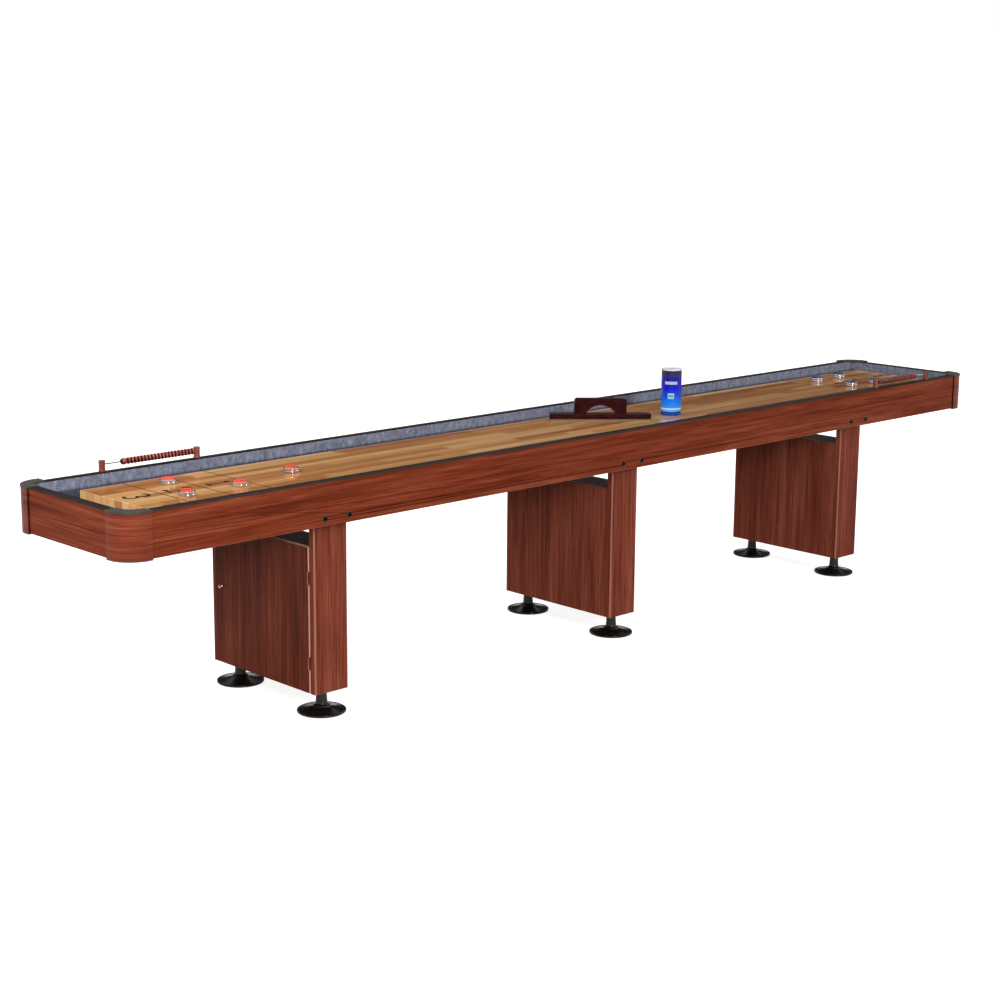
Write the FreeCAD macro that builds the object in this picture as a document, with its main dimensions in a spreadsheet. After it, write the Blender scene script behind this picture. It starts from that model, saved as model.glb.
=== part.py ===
import FreeCAD, Part
import math
import os
import Sketcher

# A fourteen-foot shuffleboard table with its game set, as a parametric document.
#
# Frame: the origin is on the floor under the middle of the table. X runs along the table, Z is
# up and -Y is the front. Sizes are in millimetres. The two ends repeat each other turned by half
# a turn about Z: the left leg's door and scorer become the right leg's door and scorer.

SAME_POINT = 1e-6
EDGE_TOLERANCE = 0.1

doc = FreeCAD.newDocument("shuffleboard_table")
sheet = doc.addObject("Spreadsheet::Sheet", "Dimensions")
finished = []


class Size:
    """A length with its number and the spreadsheet expression that gives the number."""

    def __init__(self, number, text):
        self.number = number
        self.text = text

    def combine(self, other, sign, number):
        return Size(number, f"({self.text} {sign} {as_size(other).text})")

    def __add__(self, other):
        return self.combine(other, "+", self.number + as_size(other).number)

    def __sub__(self, other):
        return self.combine(other, "-", self.number - as_size(other).number)

    def __mul__(self, other):
        return self.combine(other, "*", self.number * as_size(other).number)

    def __truediv__(self, other):
        return self.combine(other, "/", self.number / as_size(other).number)

    def __neg__(self):
        return self * -1

    def __rsub__(self, other):
        return as_size(other) - self


def as_size(value):
    return value if isinstance(value, Size) else Size(value, f"({value})")


def ordered(first, second):
    """Two sizes, the smaller one first."""
    return (first, second) if first.number <= second.number else (second, first)


def dimension(alias, number):
    """Put a driving dimension in the next row of the sheet and return it as a Size."""
    row = len(sheet.getUsedCells()) // 2 + 1
    sheet.set(f"A{row}", alias.replace("_", " "))
    sheet.set(f"B{row}", str(number))
    sheet.setAlias(f"B{row}", alias)
    return Size(number, f"Dimensions.{alias}")


# ---------------------------------------------------------------- driving dimensions
# Cabinet: a frame of rails round a carpeted gutter, with rounded posts at the corners.
table_length = dimension("table_length", 4263)
table_width = dimension("table_width", 610)
rim_height = dimension("rim_height", 770)
rail_height = dimension("rail_height", 141)
rail_thickness = dimension("rail_thickness", 33)
rim_strip_thickness = dimension("rim_strip_thickness", 3)
lining_thickness = dimension("lining_thickness", 4)
post_radius = dimension("post_radius", 83)
post_proud = dimension("post_proud", 5.5)
post_reach = dimension("post_reach", 96)
post_gap = dimension("post_gap", 2.5)
cap_thickness = dimension("cap_thickness", 6)
cap_overhang = dimension("cap_overhang", 1.5)
foot_cap_thickness = dimension("foot_cap_thickness", 3)
floor_top = dimension("floor_top", 684)
floor_thickness = dimension("floor_thickness", 12)
floor_tongue = dimension("floor_tongue", 8)
carpet_thickness = dimension("carpet_thickness", 3)
bracket_arm = dimension("bracket_arm", 130)
bracket_steel = dimension("bracket_steel", 3)
bracket_height = dimension("bracket_height", 30)

# Playfield: a thick laminated board that stands on cross cleats inside the gutter.
board_length = dimension("board_length", 3993)
board_width = dimension("board_width", 387)
board_thickness = dimension("board_thickness", 32)
board_drop = dimension("board_drop", 26)
board_shift = dimension("board_shift", 30.5)
board_edge_round = dimension("board_edge_round", 1.5)
cleat_length = dimension("cleat_length", 360)
cleat_width = dimension("cleat_width", 60)
cleat_spacing = dimension("cleat_spacing", 600)
cleat_count = 7

# Legs: three boxes; the outer two have a door and hold the game set.
leg_spacing = dimension("leg_spacing", 1360)
leg_width = dimension("leg_width", 134)
leg_bottom = dimension("leg_bottom", 79)
leg_box_top = dimension("leg_box_top", 555)
leg_panel_thickness = dimension("leg_panel_thickness", 24)
leg_edge_round = dimension("leg_edge_round", 7)
side_panel_thickness = dimension("side_panel_thickness", 16)
base_panel_thickness = dimension("base_panel_thickness", 24)
bolt_height = dimension("bolt_height", 653)
bolt_offset = dimension("bolt_offset", 49)
bolt_shank_radius = dimension("bolt_shank_radius", 4)
bolt_hole_radius = dimension("bolt_hole_radius", 4.25)
bolt_head_radius = dimension("bolt_head_radius", 8.5)
bolt_head_height = dimension("bolt_head_height", 5)
bolt_head_side = dimension("bolt_head_side", 2)
bolt_length = dimension("bolt_length", 70)
washer_thickness = dimension("washer_thickness", 2)
washer_radius = dimension("washer_radius", 10)
nut_radius = dimension("nut_radius", 7.5)
nut_height = dimension("nut_height", 6.5)

# Doors: inset between the leg's end panels, on two butt hinges, with a knob and a magnet.
door_gap = dimension("door_gap", 2.5)
door_proud = dimension("door_proud", 4)
door_thickness = dimension("door_thickness", 16)
door_foot_gap = dimension("door_foot_gap", 2)
hinge_height = dimension("hinge_height", 42)
hinge_inset = dimension("hinge_inset", 98)
hinge_steel = dimension("hinge_steel", 1)
hinge_leaf_width = dimension("hinge_leaf_width", 21)
knuckle_radius = dimension("knuckle_radius", 2.2)
knuckle_play = dimension("knuckle_play", 0.2)
pin_radius = dimension("pin_radius", 1.1)
pin_bore_radius = dimension("pin_bore_radius", 1.15)
knuckle_count = 5
knob_height = dimension("knob_height", 344)
knob_inset = dimension("knob_inset", 33.5)
knob_flange_radius = dimension("knob_flange_radius", 5.2)
knob_flange_end = dimension("knob_flange_end", 1.5)
knob_stem_radius = dimension("knob_stem_radius", 3.4)
knob_stem_end = dimension("knob_stem_end", 5.4)
knob_head_radius = dimension("knob_head_radius", 7)
knob_head_start = dimension("knob_head_start", 8)
knob_head_end = dimension("knob_head_end", 10.6)
knob_face_radius = dimension("knob_face_radius", 3.5)
knob_length = dimension("knob_length", 13)
knob_neck_sweep = dimension("knob_neck_sweep", 14)
knob_rim_sweep = dimension("knob_rim_sweep", 4)
knob_face_sweep = dimension("knob_face_sweep", 16)
catch_length = dimension("catch_length", 46)
catch_depth = dimension("catch_depth", 14)
catch_height = dimension("catch_height", 503)
strike_width = dimension("strike_width", 22)
strike_length = dimension("strike_length", 37)
strike_steel = dimension("strike_steel", 0.7)

# Levelers: a moulded foot on a threaded stud that screws into a T-nut in the leg's base.
leveler_offset = dimension("leveler_offset", 217)
foot_radius = dimension("foot_radius", 79)
foot_edge = dimension("foot_edge", 2)
foot_rim_height = dimension("foot_rim_height", 8)
foot_crown_height = dimension("foot_crown_height", 25)
foot_crown_radius = dimension("foot_crown_radius", 22)
foot_sweep = dimension("foot_sweep", 126)
neck_start = dimension("neck_start", 33)
neck_sweep = dimension("neck_sweep", 9)
neck_low_radius = dimension("neck_low_radius", 19)
neck_top_radius = dimension("neck_top_radius", 15.8)
stud_radius = dimension("stud_radius", 5)
stud_rise = dimension("stud_rise", 45)
stud_bore_radius = dimension("stud_bore_radius", 5.08)
t_nut_radius = dimension("t_nut_radius", 6.5)
t_nut_flange_radius = dimension("t_nut_flange_radius", 12)
t_nut_flange = dimension("t_nut_flange", 1.5)
t_nut_length = dimension("t_nut_length", 19)

# Scorers: ribbed beads on a rod between two posts, one on each long rail.
scorer_span = dimension("scorer_span", 360)
left_scorer_place = dimension("left_scorer_place", 1647)
right_scorer_place = dimension("right_scorer_place", 1678)
scorer_inset = dimension("scorer_inset", 20)
scorer_post_radius = dimension("scorer_post_radius", 11)
scorer_post_height = dimension("scorer_post_height", 36)
scorer_post_round = dimension("scorer_post_round", 2.2)
rod_height = dimension("rod_height", 23)
rod_radius = dimension("rod_radius", 2)
rod_bore_radius = dimension("rod_bore_radius", 2.08)
rod_socket = dimension("rod_socket", 6)
bead_pitch = dimension("bead_pitch", 12.9)
bead_play = dimension("bead_play", 0.35)
bead_radius = dimension("bead_radius", 11)
bead_end_radius = dimension("bead_end_radius", 7)
lead_bead_length = dimension("lead_bead_length", 22)
bead_count = 20

# Game set: eight weights, a sweep brush and a can of speed wax.
puck_radius = dimension("puck_radius", 26.5)
puck_body_height = dimension("puck_body_height", 15)
puck_waist_radius = dimension("puck_waist_radius", 24.5)
puck_edge = dimension("puck_edge", 3.5)
puck_round = dimension("puck_round", 1)
puck_cap_radius = dimension("puck_cap_radius", 22)
puck_cap_height = dimension("puck_cap_height", 4.5)
puck_cap_round = dimension("puck_cap_round", 1.5)
brush_length = dimension("brush_length", 380)
brush_width = dimension("brush_width", 45)
brush_block_height = dimension("brush_block_height", 19)
brush_block_round = dimension("brush_block_round", 3)
bristle_height = dimension("bristle_height", 8)
bristle_inset = dimension("bristle_inset", 3)
handle_length = dimension("handle_length", 196)
handle_thickness = dimension("handle_thickness", 28)
handle_height = dimension("handle_height", 57)
handle_round = dimension("handle_round", 10)
arch_half_width = dimension("arch_half_width", 56)
arch_rise = dimension("arch_rise", 32)
can_radius = dimension("can_radius", 40)
can_height = dimension("can_height", 178)
can_seam = dimension("can_seam", 1.2)
can_seam_height = dimension("can_seam_height", 4)
can_seam_slope = dimension("can_seam_slope", 1)
can_lid_height = dimension("can_lid_height", 6)
lid_chamfer = dimension("lid_chamfer", 1.2)
lid_rim_width = dimension("lid_rim_width", 4)
lid_recess_slope = dimension("lid_recess_slope", 1)
lid_recess = dimension("lid_recess", 2)

# Where the game set lies on the board, as (X, Y) of each piece's middle.
red_pucks = [(-1709, 99), (-1769, -91), (-1564, -81), (-1305, -6)]
blue_pucks = [(1613, 99), (1776, 103), (1617, -78), (1755, -100)]
brush_place = (176, 22)
brush_angle = -41
can_place = (479, -64)

# ---------------------------------------------------------------- derived sizes
none = as_size(0)
half_length = table_length / 2
half_width = table_width / 2
rail_bottom = rim_height - rail_height
rail_top = rim_height - rim_strip_thickness
inner_half_length = half_length - rail_thickness
inner_half_width = half_width - rail_thickness
well_half_length = inner_half_length - lining_thickness
well_half_width = inner_half_width - lining_thickness
rail_end_x = half_length + post_proud - post_reach - post_gap
rail_end_y = half_width + post_proud - post_reach - post_gap
floor_bottom = floor_top - floor_thickness
board_top = rim_height - board_drop
board_bottom = board_top - board_thickness
carpet_top = floor_top + carpet_thickness
leg_half_width = leg_width / 2
panel_inner_y = inner_half_width - leg_panel_thickness
door_half_width = panel_inner_y - door_gap
door_outer_x = leg_half_width + door_proud
door_inner_x = door_outer_x - door_thickness
door_bottom = leg_bottom + door_foot_gap
hinge_line_x = door_outer_x + knuckle_radius + knuckle_play
hinge_line_y = panel_inner_y - door_gap / 2
scorer_y = half_width - scorer_inset
bead_row_start = scorer_span / 2 - scorer_post_radius - bead_play
leg_places = {"left": -leg_spacing, "middle": none, "right": leg_spacing}


# ---------------------------------------------------------------- building blocks
def bind(item, path, size):
    """Tie a property of a document object to the sheet."""
    item.setExpression(path, as_size(size).text)


def place(item, x=none, y=none, z=none, turn=0, axis=(0, 0, 1)):
    item.Placement = FreeCAD.Placement(
        FreeCAD.Vector(as_size(x).number, as_size(y).number, as_size(z).number),
        FreeCAD.Rotation(FreeCAD.Vector(*axis), turn))
    bind(item, "Placement.Base.x", x)
    bind(item, "Placement.Base.y", y)
    bind(item, "Placement.Base.z", z)
    return item


def finish(item, label):
    """Name an object as a sub-part of the table."""
    item.Label = label
    finished.append(item)
    return item


def box(x, y, z, side=1):
    """A box from its low and high faces; side -1 turns it by half a turn about Z."""
    if side < 0:
        x = (-x[1], -x[0])
        y = (-y[1], -y[0])
    item = doc.addObject("Part::Box", "Box")
    bind(item, "Length", x[1] - x[0])
    bind(item, "Width", y[1] - y[0])
    bind(item, "Height", z[1] - z[0])
    return place(item, x[0], y[0], z[0])


def cylinder(radius, height, x, y, z, along="Z"):
    item = doc.addObject("Part::Cylinder", "Cylinder")
    bind(item, "Radius", radius)
    bind(item, "Height", height)
    turns = {"Z": (0, (0, 0, 1)), "Y": (-90, (1, 0, 0)), "-Y": (90, (1, 0, 0)), "X": (90, (0, 1, 0))}
    turn, axis = turns[along]
    return place(item, x, y, z, turn, axis)


def cut(base, tools):
    item = doc.addObject("Part::Cut", "Cut")
    item.Base = base
    item.Tool = tools[0] if len(tools) == 1 else fuse(tools)
    return item


def fuse(shapes):
    item = doc.addObject("Part::MultiFuse", "Fuse")
    item.Shapes = shapes
    return item


def group(shapes):
    item = doc.addObject("Part::Compound", "Group")
    item.Links = shapes
    return item


def new_body(name):
    return doc.addObject("PartDesign::Body", name)


def sketch_on(body, role):
    """A sketch on one of the body's own origin planes."""
    sketch = body.newObject("Sketcher::SketchObject", "Sketch")
    plane = next(item for item in body.Origin.OriginFeatures if item.Role == role)
    sketch.AttachmentSupport = [(plane, "")]
    sketch.MapMode = "FlatFace"
    return sketch


def arc_middle(start, end, radius, bulge):
    """The middle of a short arc between two points; bulge 1 swells to the left of the chord."""
    chord = end.sub(start)
    half = chord.Length / 2
    rise = radius - math.sqrt(max(radius * radius - half * half, 0))
    left = FreeCAD.Vector(-chord.y, chord.x, 0).normalize()
    return start.add(end).multiply(0.5).add(left.multiply(rise * bulge))


def outline(sketch, points, arcs=None):
    """Draw a closed outline through points and tie each of them to the sheet.

    points are pairs of Size; arcs maps a point's number to (radius, bulge) for the arc that
    leaves it. All other stretches are straight.
    """
    arcs = arcs or {}
    places = [FreeCAD.Vector(as_size(u).number, as_size(v).number, 0) for u, v in points]
    count = len(points)
    ends = []
    for number, start in enumerate(places):
        end = places[(number + 1) % count]
        if number in arcs:
            radius, bulge = arcs[number]
            middle = arc_middle(start, end, radius.number, bulge)
            edge = sketch.addGeometry(Part.Arc(start, middle, end), False)
            forward = sketch.getPoint(edge, 1).distanceToPoint(start) < SAME_POINT
            ends.append((edge, 1, 2) if forward else (edge, 2, 1))
        else:
            edge = sketch.addGeometry(Part.LineSegment(start, end), False)
            ends.append((edge, 1, 2))
    for number in range(count):
        before = ends[number - 1]
        here = ends[number]
        sketch.addConstraint(Sketcher.Constraint("Coincident", before[0], before[2], here[0], here[1]))
        for kind, name, value in (("DistanceX", "across", points[number][0]),
                                  ("DistanceY", "up", points[number][1])):
            value = as_size(value)
            rule = Sketcher.Constraint(kind, -1, 1, here[0], here[1], value.number)
            sketch.renameConstraint(sketch.addConstraint(rule), f"{name}_{number}")
            bind(sketch, f"Constraints.{name}_{number}", value)
        if number in arcs:
            radius = arcs[number][0]
            rule = Sketcher.Constraint("Radius", here[0], radius.number)
            sketch.renameConstraint(sketch.addConstraint(rule), f"radius_{number}")
            bind(sketch, f"Constraints.radius_{number}", radius)


def padded(name, role, points, height, arcs=None):
    """A body made by padding an outline away from its plane."""
    body = new_body(name)
    sketch = sketch_on(body, role)
    outline(sketch, points, arcs)
    pad = body.newObject("PartDesign::Pad", "Pad")
    pad.Profile = sketch
    bind(pad, "Length", height)
    body.Tip = pad
    return body


def revolved(name, points, arcs=None, about="V_Axis"):
    """A body turned from half its section: about V_Axis the points are (radius, height)."""
    body = new_body(name)
    sketch = sketch_on(body, "XZ_Plane")
    outline(sketch, points, arcs)
    turned = body.newObject("PartDesign::Revolution", "Revolution")
    turned.Profile = sketch
    turned.ReferenceAxis = (sketch, [about])
    turned.Angle = 360
    body.Tip = turned
    return body


def rounded(body, radius, chooser):
    """Fillet the edges of a body's tip that chooser picks."""
    doc.recompute()
    tip = body.Tip
    names = [f"Edge{number}" for number, edge in enumerate(tip.Shape.Edges, 1) if chooser(edge)]
    fillet = body.newObject("PartDesign::Fillet", "Fillet")
    fillet.Base = (tip, names)
    bind(fillet, "Radius", radius)
    body.Tip = fillet
    return body


# ---------------------------------------------------------------- cabinet
def bolt_places():
    """The middle of every bolt: two through each long rail at each leg."""
    for leg_x in leg_places.values():
        for offset in (-bolt_offset, bolt_offset):
            for side in (-1, 1):
                yield leg_x + offset, side


def make_side_rails():
    """Long rails, each grooved for the floor and drilled for the leg bolts."""
    for label, side in (("side_rail_front", 1), ("side_rail_back", -1)):
        rail = box((-rail_end_x, rail_end_x), (-half_width, -inner_half_width),
                   (rail_bottom, rail_top), side)
        groove = box((-rail_end_x, rail_end_x), (-inner_half_width - floor_tongue, -inner_half_width),
                     (floor_bottom, floor_top), side)
        along = "Y" if side > 0 else "-Y"
        holes = [cylinder(bolt_hole_radius, rail_thickness, x, -half_width * side, bolt_height, along)
                 for x, bolt_side in bolt_places() if bolt_side == -side]
        finish(cut(rail, [groove] + holes), label)


def make_end_rails():
    for label, side in (("end_rail_left", 1), ("end_rail_right", -1)):
        rail = box((-half_length, -inner_half_length), (-rail_end_y, rail_end_y),
                   (rail_bottom, rail_top), side)
        groove = box((-inner_half_length - floor_tongue, -inner_half_length), (-rail_end_y, rail_end_y),
                     (floor_bottom, floor_top), side)
        finish(cut(rail, [groove]), label)


def at_corners(make, grow, z):
    """Four copies of a corner piece whose arms run inwards from its outer corner."""
    corner_x = half_length + post_proud + grow
    corner_y = half_width + post_proud + grow
    corners = ((-corner_x, -corner_y, 0), (corner_x, -corner_y, 90),
               (corner_x, corner_y, 180), (-corner_x, corner_y, 270))
    return [place(make(), x, y, z, turn) for x, y, turn in corners]


def corner_piece(radius, reach, width, height, inner_radius=None):
    """An L in plan with a round outer corner, padded upwards; its inner corner may be round."""
    points = [(radius, none), (reach, none), (reach, width), (width, width), (width, reach),
              (none, reach), (none, radius)]
    arcs = {6: (radius, -1)}
    if inner_radius:
        points[3:4] = [(width + inner_radius, width), (width, width + inner_radius)]
        arcs = {3: (inner_radius, 1), 7: (radius, -1)}
    return padded("Corner", "XY_Plane", points, height, arcs)


def make_corners():
    post_width = rail_thickness + post_proud

    def post():
        return corner_piece(post_radius, post_reach, post_width, rail_top - rail_bottom)

    def top_cap():
        radius = post_radius + cap_overhang
        reach = post_reach + post_gap + cap_overhang
        width = post_width + lining_thickness + cap_overhang
        return corner_piece(radius, reach, width, cap_thickness, radius - width)

    def foot_cap():
        return corner_piece(post_radius, post_reach, post_width, foot_cap_thickness)

    finish(group(at_corners(post, none, rail_bottom)), "corner_posts")
    caps = at_corners(top_cap, cap_overhang, rail_top)
    foot_caps = at_corners(foot_cap, none, rail_bottom - foot_cap_thickness)
    finish(group(caps + foot_caps), "corner_caps")


def make_rim_strips():
    """Dark strips that cover the top of the rails and of the lining."""
    heights = (rail_top, rim_height)
    strips = []
    for side in (1, -1):
        strips.append(box((-rail_end_x, rail_end_x), (-half_width, -well_half_width), heights, side))
        strips.append(box((-half_length, -well_half_length), (-rail_end_y, rail_end_y), heights, side))
    finish(group(strips), "rim_strips")


def make_lining():
    """Carpeted boards on the inner faces of the rails, which also tie the rails to the posts."""
    heights = (floor_top, rail_top)
    for label, side in (("gutter_lining_front", 1), ("gutter_lining_back", -1)):
        finish(box((-inner_half_length, inner_half_length), (-inner_half_width, -well_half_width),
                   heights, side), label)
    ends = [box((-inner_half_length, -well_half_length), (-well_half_width, well_half_width), heights, side)
            for side in (1, -1)]
    finish(group(ends), "gutter_lining_ends")


def make_floor():
    heights = (floor_bottom, floor_top)
    middle = box((-inner_half_length, inner_half_length), (-inner_half_width, inner_half_width), heights)
    groove_y = inner_half_width + floor_tongue
    groove_x = inner_half_length + floor_tongue
    long_tongues = box((-rail_end_x, rail_end_x), (-groove_y, groove_y), heights)
    end_tongues = box((-groove_x, groove_x), (-rail_end_y, rail_end_y), heights)
    finish(fuse([middle, long_tongues, end_tongues]), "cabinet_floor")
    finish(box((-well_half_length, well_half_length), (-well_half_width, well_half_width),
               (floor_top, carpet_top)), "gutter_carpet")


def make_corner_brackets():
    """Steel angles under the floor that pull each post and its two rails together."""
    brackets = []
    z = (floor_bottom - bracket_height, floor_bottom)
    for x_side in (-1, 1):
        for y_side in (-1, 1):
            x_face = inner_half_length * x_side
            y_face = inner_half_width * y_side
            x_arm = ordered(x_face, x_face - bracket_arm * x_side)
            y_arm = ordered(y_face, y_face - bracket_arm * y_side)
            x_plate = ordered(x_face, x_face - bracket_steel * x_side)
            y_plate = ordered(y_face, y_face - bracket_steel * y_side)
            brackets.append(fuse([box(x_arm, y_plate, z), box(x_plate, y_arm, z)]))
    finish(group(brackets), "corner_brackets")


# ---------------------------------------------------------------- playfield
def make_playfield():
    board = padded("Playfield", "XY_Plane",
                   [(none, none), (board_length, none), (board_length, board_width), (none, board_width)],
                   board_thickness)
    upper = board_thickness.number - EDGE_TOLERANCE
    rounded(board, board_edge_round, lambda edge: edge.CenterOfMass.z > upper)
    place(board, board_shift - board_length / 2, -board_width / 2, board_bottom)
    finish(board, "playfield")
    cleats = []
    for number in range(cleat_count):
        middle = board_shift + cleat_spacing * (number - (cleat_count - 1) / 2)
        cleats.append(box((middle - cleat_width / 2, middle + cleat_width / 2),
                          (-cleat_length / 2, cleat_length / 2), (carpet_top, board_bottom)))
    finish(group(cleats), "playfield_supports")


# ---------------------------------------------------------------- legs
def make_leg_panel(label, leg_x, side):
    """A leg's end panel with rounded outer edges; it rises inside the rail and is bolted to it."""
    points = [(leg_edge_round, none), (leg_width - leg_edge_round, none), (leg_width, leg_edge_round),
              (leg_width, leg_panel_thickness), (none, leg_panel_thickness), (none, leg_edge_round)]
    arcs = {1: (leg_edge_round, -1), 5: (leg_edge_round, -1)}
    panel = padded("Panel", "XY_Plane", points, floor_bottom - leg_bottom, arcs)
    turn = 0 if side > 0 else 180
    place(panel, leg_x - leg_half_width * side, -inner_half_width * side, leg_bottom, turn)
    along = "Y" if side > 0 else "-Y"
    holes = [cylinder(bolt_hole_radius, leg_panel_thickness, leg_x + offset, -inner_half_width * side,
                      bolt_height, along) for offset in (-bolt_offset, bolt_offset)]
    finish(cut(panel, holes), label)


def make_leg_boxes():
    """Fixed side, top and base panels of the three legs."""
    sides = []
    tops = []
    bases = []
    across = (-panel_inner_y, panel_inner_y)
    inner_x = leg_half_width - side_panel_thickness
    for name, leg_x in leg_places.items():
        fixed_sides = {"left": (1,), "middle": (-1, 1), "right": (-1,)}[name]
        for side in fixed_sides:
            faces = ordered(leg_x + inner_x * side, leg_x + leg_half_width * side)
            sides.append(box(faces, across, (leg_bottom, leg_box_top)))
        low = leg_x - (inner_x if -1 in fixed_sides else door_inner_x - hinge_steel)
        high = leg_x + (inner_x if 1 in fixed_sides else door_inner_x - hinge_steel)
        tops.append(box((low, high), across, (leg_box_top - side_panel_thickness, leg_box_top)))
        base = box((low, high), across, (leg_bottom, leg_bottom + base_panel_thickness))
        holes = [cylinder(t_nut_radius, base_panel_thickness, leg_x, leveler_offset * side, leg_bottom)
                 for side in (-1, 1)]
        bases.append(cut(base, holes))
    finish(group(sides), "leg_side_panels")
    finish(group(tops), "leg_top_panels")
    finish(group(bases), "leg_base_panels")


def make_leg_bolts():
    """Dome-headed bolts from the face of the rail through the leg panel, with washer and nut."""
    pieces = []
    for x, side in bolt_places():
        points = [(none, none), (bolt_shank_radius, none), (bolt_shank_radius, bolt_length),
                  (bolt_head_radius, bolt_length), (bolt_head_radius, bolt_length + bolt_head_side),
                  (none, bolt_length + bolt_head_height)]
        dome = bolt_head_height - bolt_head_side
        dome_radius = (bolt_head_radius * bolt_head_radius + dome * dome) / (dome * 2)
        bolt = revolved("Bolt", points, {4: (dome_radius, -1)})
        inner_end = half_width - bolt_length
        place(bolt, x, inner_end * side, bolt_height, 90 * -side, (1, 0, 0))
        pieces.append(bolt)
        washer_face = panel_inner_y * side
        away = "-Y" if side > 0 else "Y"
        washer = cylinder(washer_radius, washer_thickness, x, washer_face, bolt_height, away)
        washer_hole = cylinder(bolt_shank_radius, washer_thickness, x, washer_face, bolt_height, away)
        pieces.append(cut(washer, [washer_hole]))
        nut = doc.addObject("Part::Prism", "Nut")
        nut.Polygon = 6
        bind(nut, "Circumradius", nut_radius)
        bind(nut, "Height", nut_height)
        nut_face = (panel_inner_y - washer_thickness) * side
        place(nut, x, nut_face, bolt_height, 90 * side, (1, 0, 0))
        nut_hole = cylinder(bolt_shank_radius, nut_height, x, nut_face, bolt_height, away)
        pieces.append(cut(nut, [nut_hole]))
    finish(group(pieces), "leg_bolts")


# ---------------------------------------------------------------- doors
def hinge_knuckles(fixed, side, leg_x, z):
    """The knuckles of one leaf, which alternate with those of the other leaf."""
    pitch = hinge_height / knuckle_count
    knuckles = []
    for number in range(knuckle_count):
        if (number % 2 == 0) != fixed:
            continue
        base = z + pitch * number + knuckle_play / 2
        height = pitch - knuckle_play
        x = leg_x - hinge_line_x * side
        y = -hinge_line_y * side
        barrel = cylinder(knuckle_radius, height, x, y, base)
        leaf_y = -panel_inner_y if fixed else -door_half_width - hinge_steel
        tab = box((leg_x * side - hinge_line_x, leg_x * side - door_outer_x),
                  (leaf_y, leaf_y + hinge_steel), (base, base + height), side)
        bore = pin_radius if fixed else pin_bore_radius
        knuckles.append(cut(fuse([barrel, tab]), [cylinder(bore, height, x, y, base)]))
    return knuckles


def hinge_half(fixed, side, leg_x, z):
    leaf_y = -panel_inner_y if fixed else -door_half_width - hinge_steel
    leaf = box((leg_x * side - door_outer_x, leg_x * side - door_outer_x + hinge_leaf_width),
               (leaf_y, leaf_y + hinge_steel), (z, z + hinge_height), side)
    return fuse([leaf] + hinge_knuckles(fixed, side, leg_x, z))


def make_door(name, leg_x, side):
    """A door with its hinges and knob; side -1 turns the set by half a turn about the leg."""
    heights = (door_bottom, leg_box_top)
    faces = (leg_x * side - door_outer_x, leg_x * side - door_inner_x)
    finish(box(faces, (-door_half_width, door_half_width), heights, side), f"{name}_door")

    hinge_places = (door_bottom + hinge_inset - hinge_height / 2,
                    leg_box_top - hinge_inset - hinge_height / 2)
    frame_halves = [hinge_half(True, side, leg_x, z) for z in hinge_places]
    pins = [cylinder(pin_radius, hinge_height, leg_x - hinge_line_x * side, -hinge_line_y * side, z)
            for z in hinge_places]
    finish(group(frame_halves + pins), f"{name}_hinge_frame_halves")

    strike_z = (catch_height - strike_length / 2, catch_height + strike_length / 2)
    strike_edge = door_half_width - hinge_steel
    strike = box((leg_x * side - door_inner_x, leg_x * side - door_inner_x + strike_steel),
                 (strike_edge - strike_width, strike_edge), strike_z, side)
    door_halves = [hinge_half(False, side, leg_x, z) for z in hinge_places]
    finish(group(door_halves + [strike]), f"{name}_hinge_door_halves")

    knob_points = [(none, none), (none, knob_flange_radius), (knob_flange_end, knob_flange_radius),
                   (knob_stem_end, knob_stem_radius), (knob_head_start, knob_head_radius),
                   (knob_head_end, knob_head_radius), (knob_length, knob_face_radius), (knob_length, none)]
    knob_arcs = {2: (knob_neck_sweep, -1), 4: (knob_rim_sweep, 1), 5: (knob_face_sweep, 1)}
    knob = revolved("Knob", knob_points, knob_arcs, "H_Axis")
    place(knob, leg_x - door_outer_x * side, (door_half_width - knob_inset) * side, knob_height,
          180 if side > 0 else 0)
    finish(knob, f"{name}_door_knob")


def make_catches():
    """Magnetic catches on the leg panels, facing the strike plates on the doors."""
    catches = []
    z = (catch_height - catch_length / 2, catch_height + catch_length / 2)
    for leg_x, side in ((leg_places["left"], 1), (leg_places["right"], -1)):
        face = leg_x * side - door_inner_x + hinge_steel
        across = (panel_inner_y - catch_depth, panel_inner_y)
        catches.append(box((face, face + catch_depth), across, z, side))
    finish(group(catches), "door_catches")


# ---------------------------------------------------------------- levelers
def make_levelers():
    nuts = []
    base_top = leg_bottom + base_panel_thickness
    for name, leg_x in leg_places.items():
        for where, side in (("front", -1), ("back", 1)):
            points = [(none, none), (foot_radius - foot_edge, none), (foot_radius, foot_edge),
                      (foot_radius, foot_rim_height), (foot_crown_radius, foot_crown_height),
                      (neck_low_radius, neck_start), (neck_top_radius, leg_bottom),
                      (stud_radius, leg_bottom), (stud_radius, leg_bottom + stud_rise),
                      (none, leg_bottom + stud_rise)]
            leveler = revolved("Leveler", points, {3: (foot_sweep, 1), 4: (neck_sweep, -1)})
            place(leveler, leg_x, leveler_offset * side, none)
            finish(leveler, f"leveler_{name}_{where}")
            flange_top = base_top + t_nut_flange
            barrel_end = flange_top - t_nut_length
            nut_points = [(stud_bore_radius, barrel_end), (t_nut_radius, barrel_end),
                          (t_nut_radius, base_top), (t_nut_flange_radius, base_top),
                          (t_nut_flange_radius, flange_top), (stud_bore_radius, flange_top)]
            nuts.append(place(revolved("TNut", nut_points), leg_x, leveler_offset * side, none))
    finish(group(nuts), "leveler_t_nuts")


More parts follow.
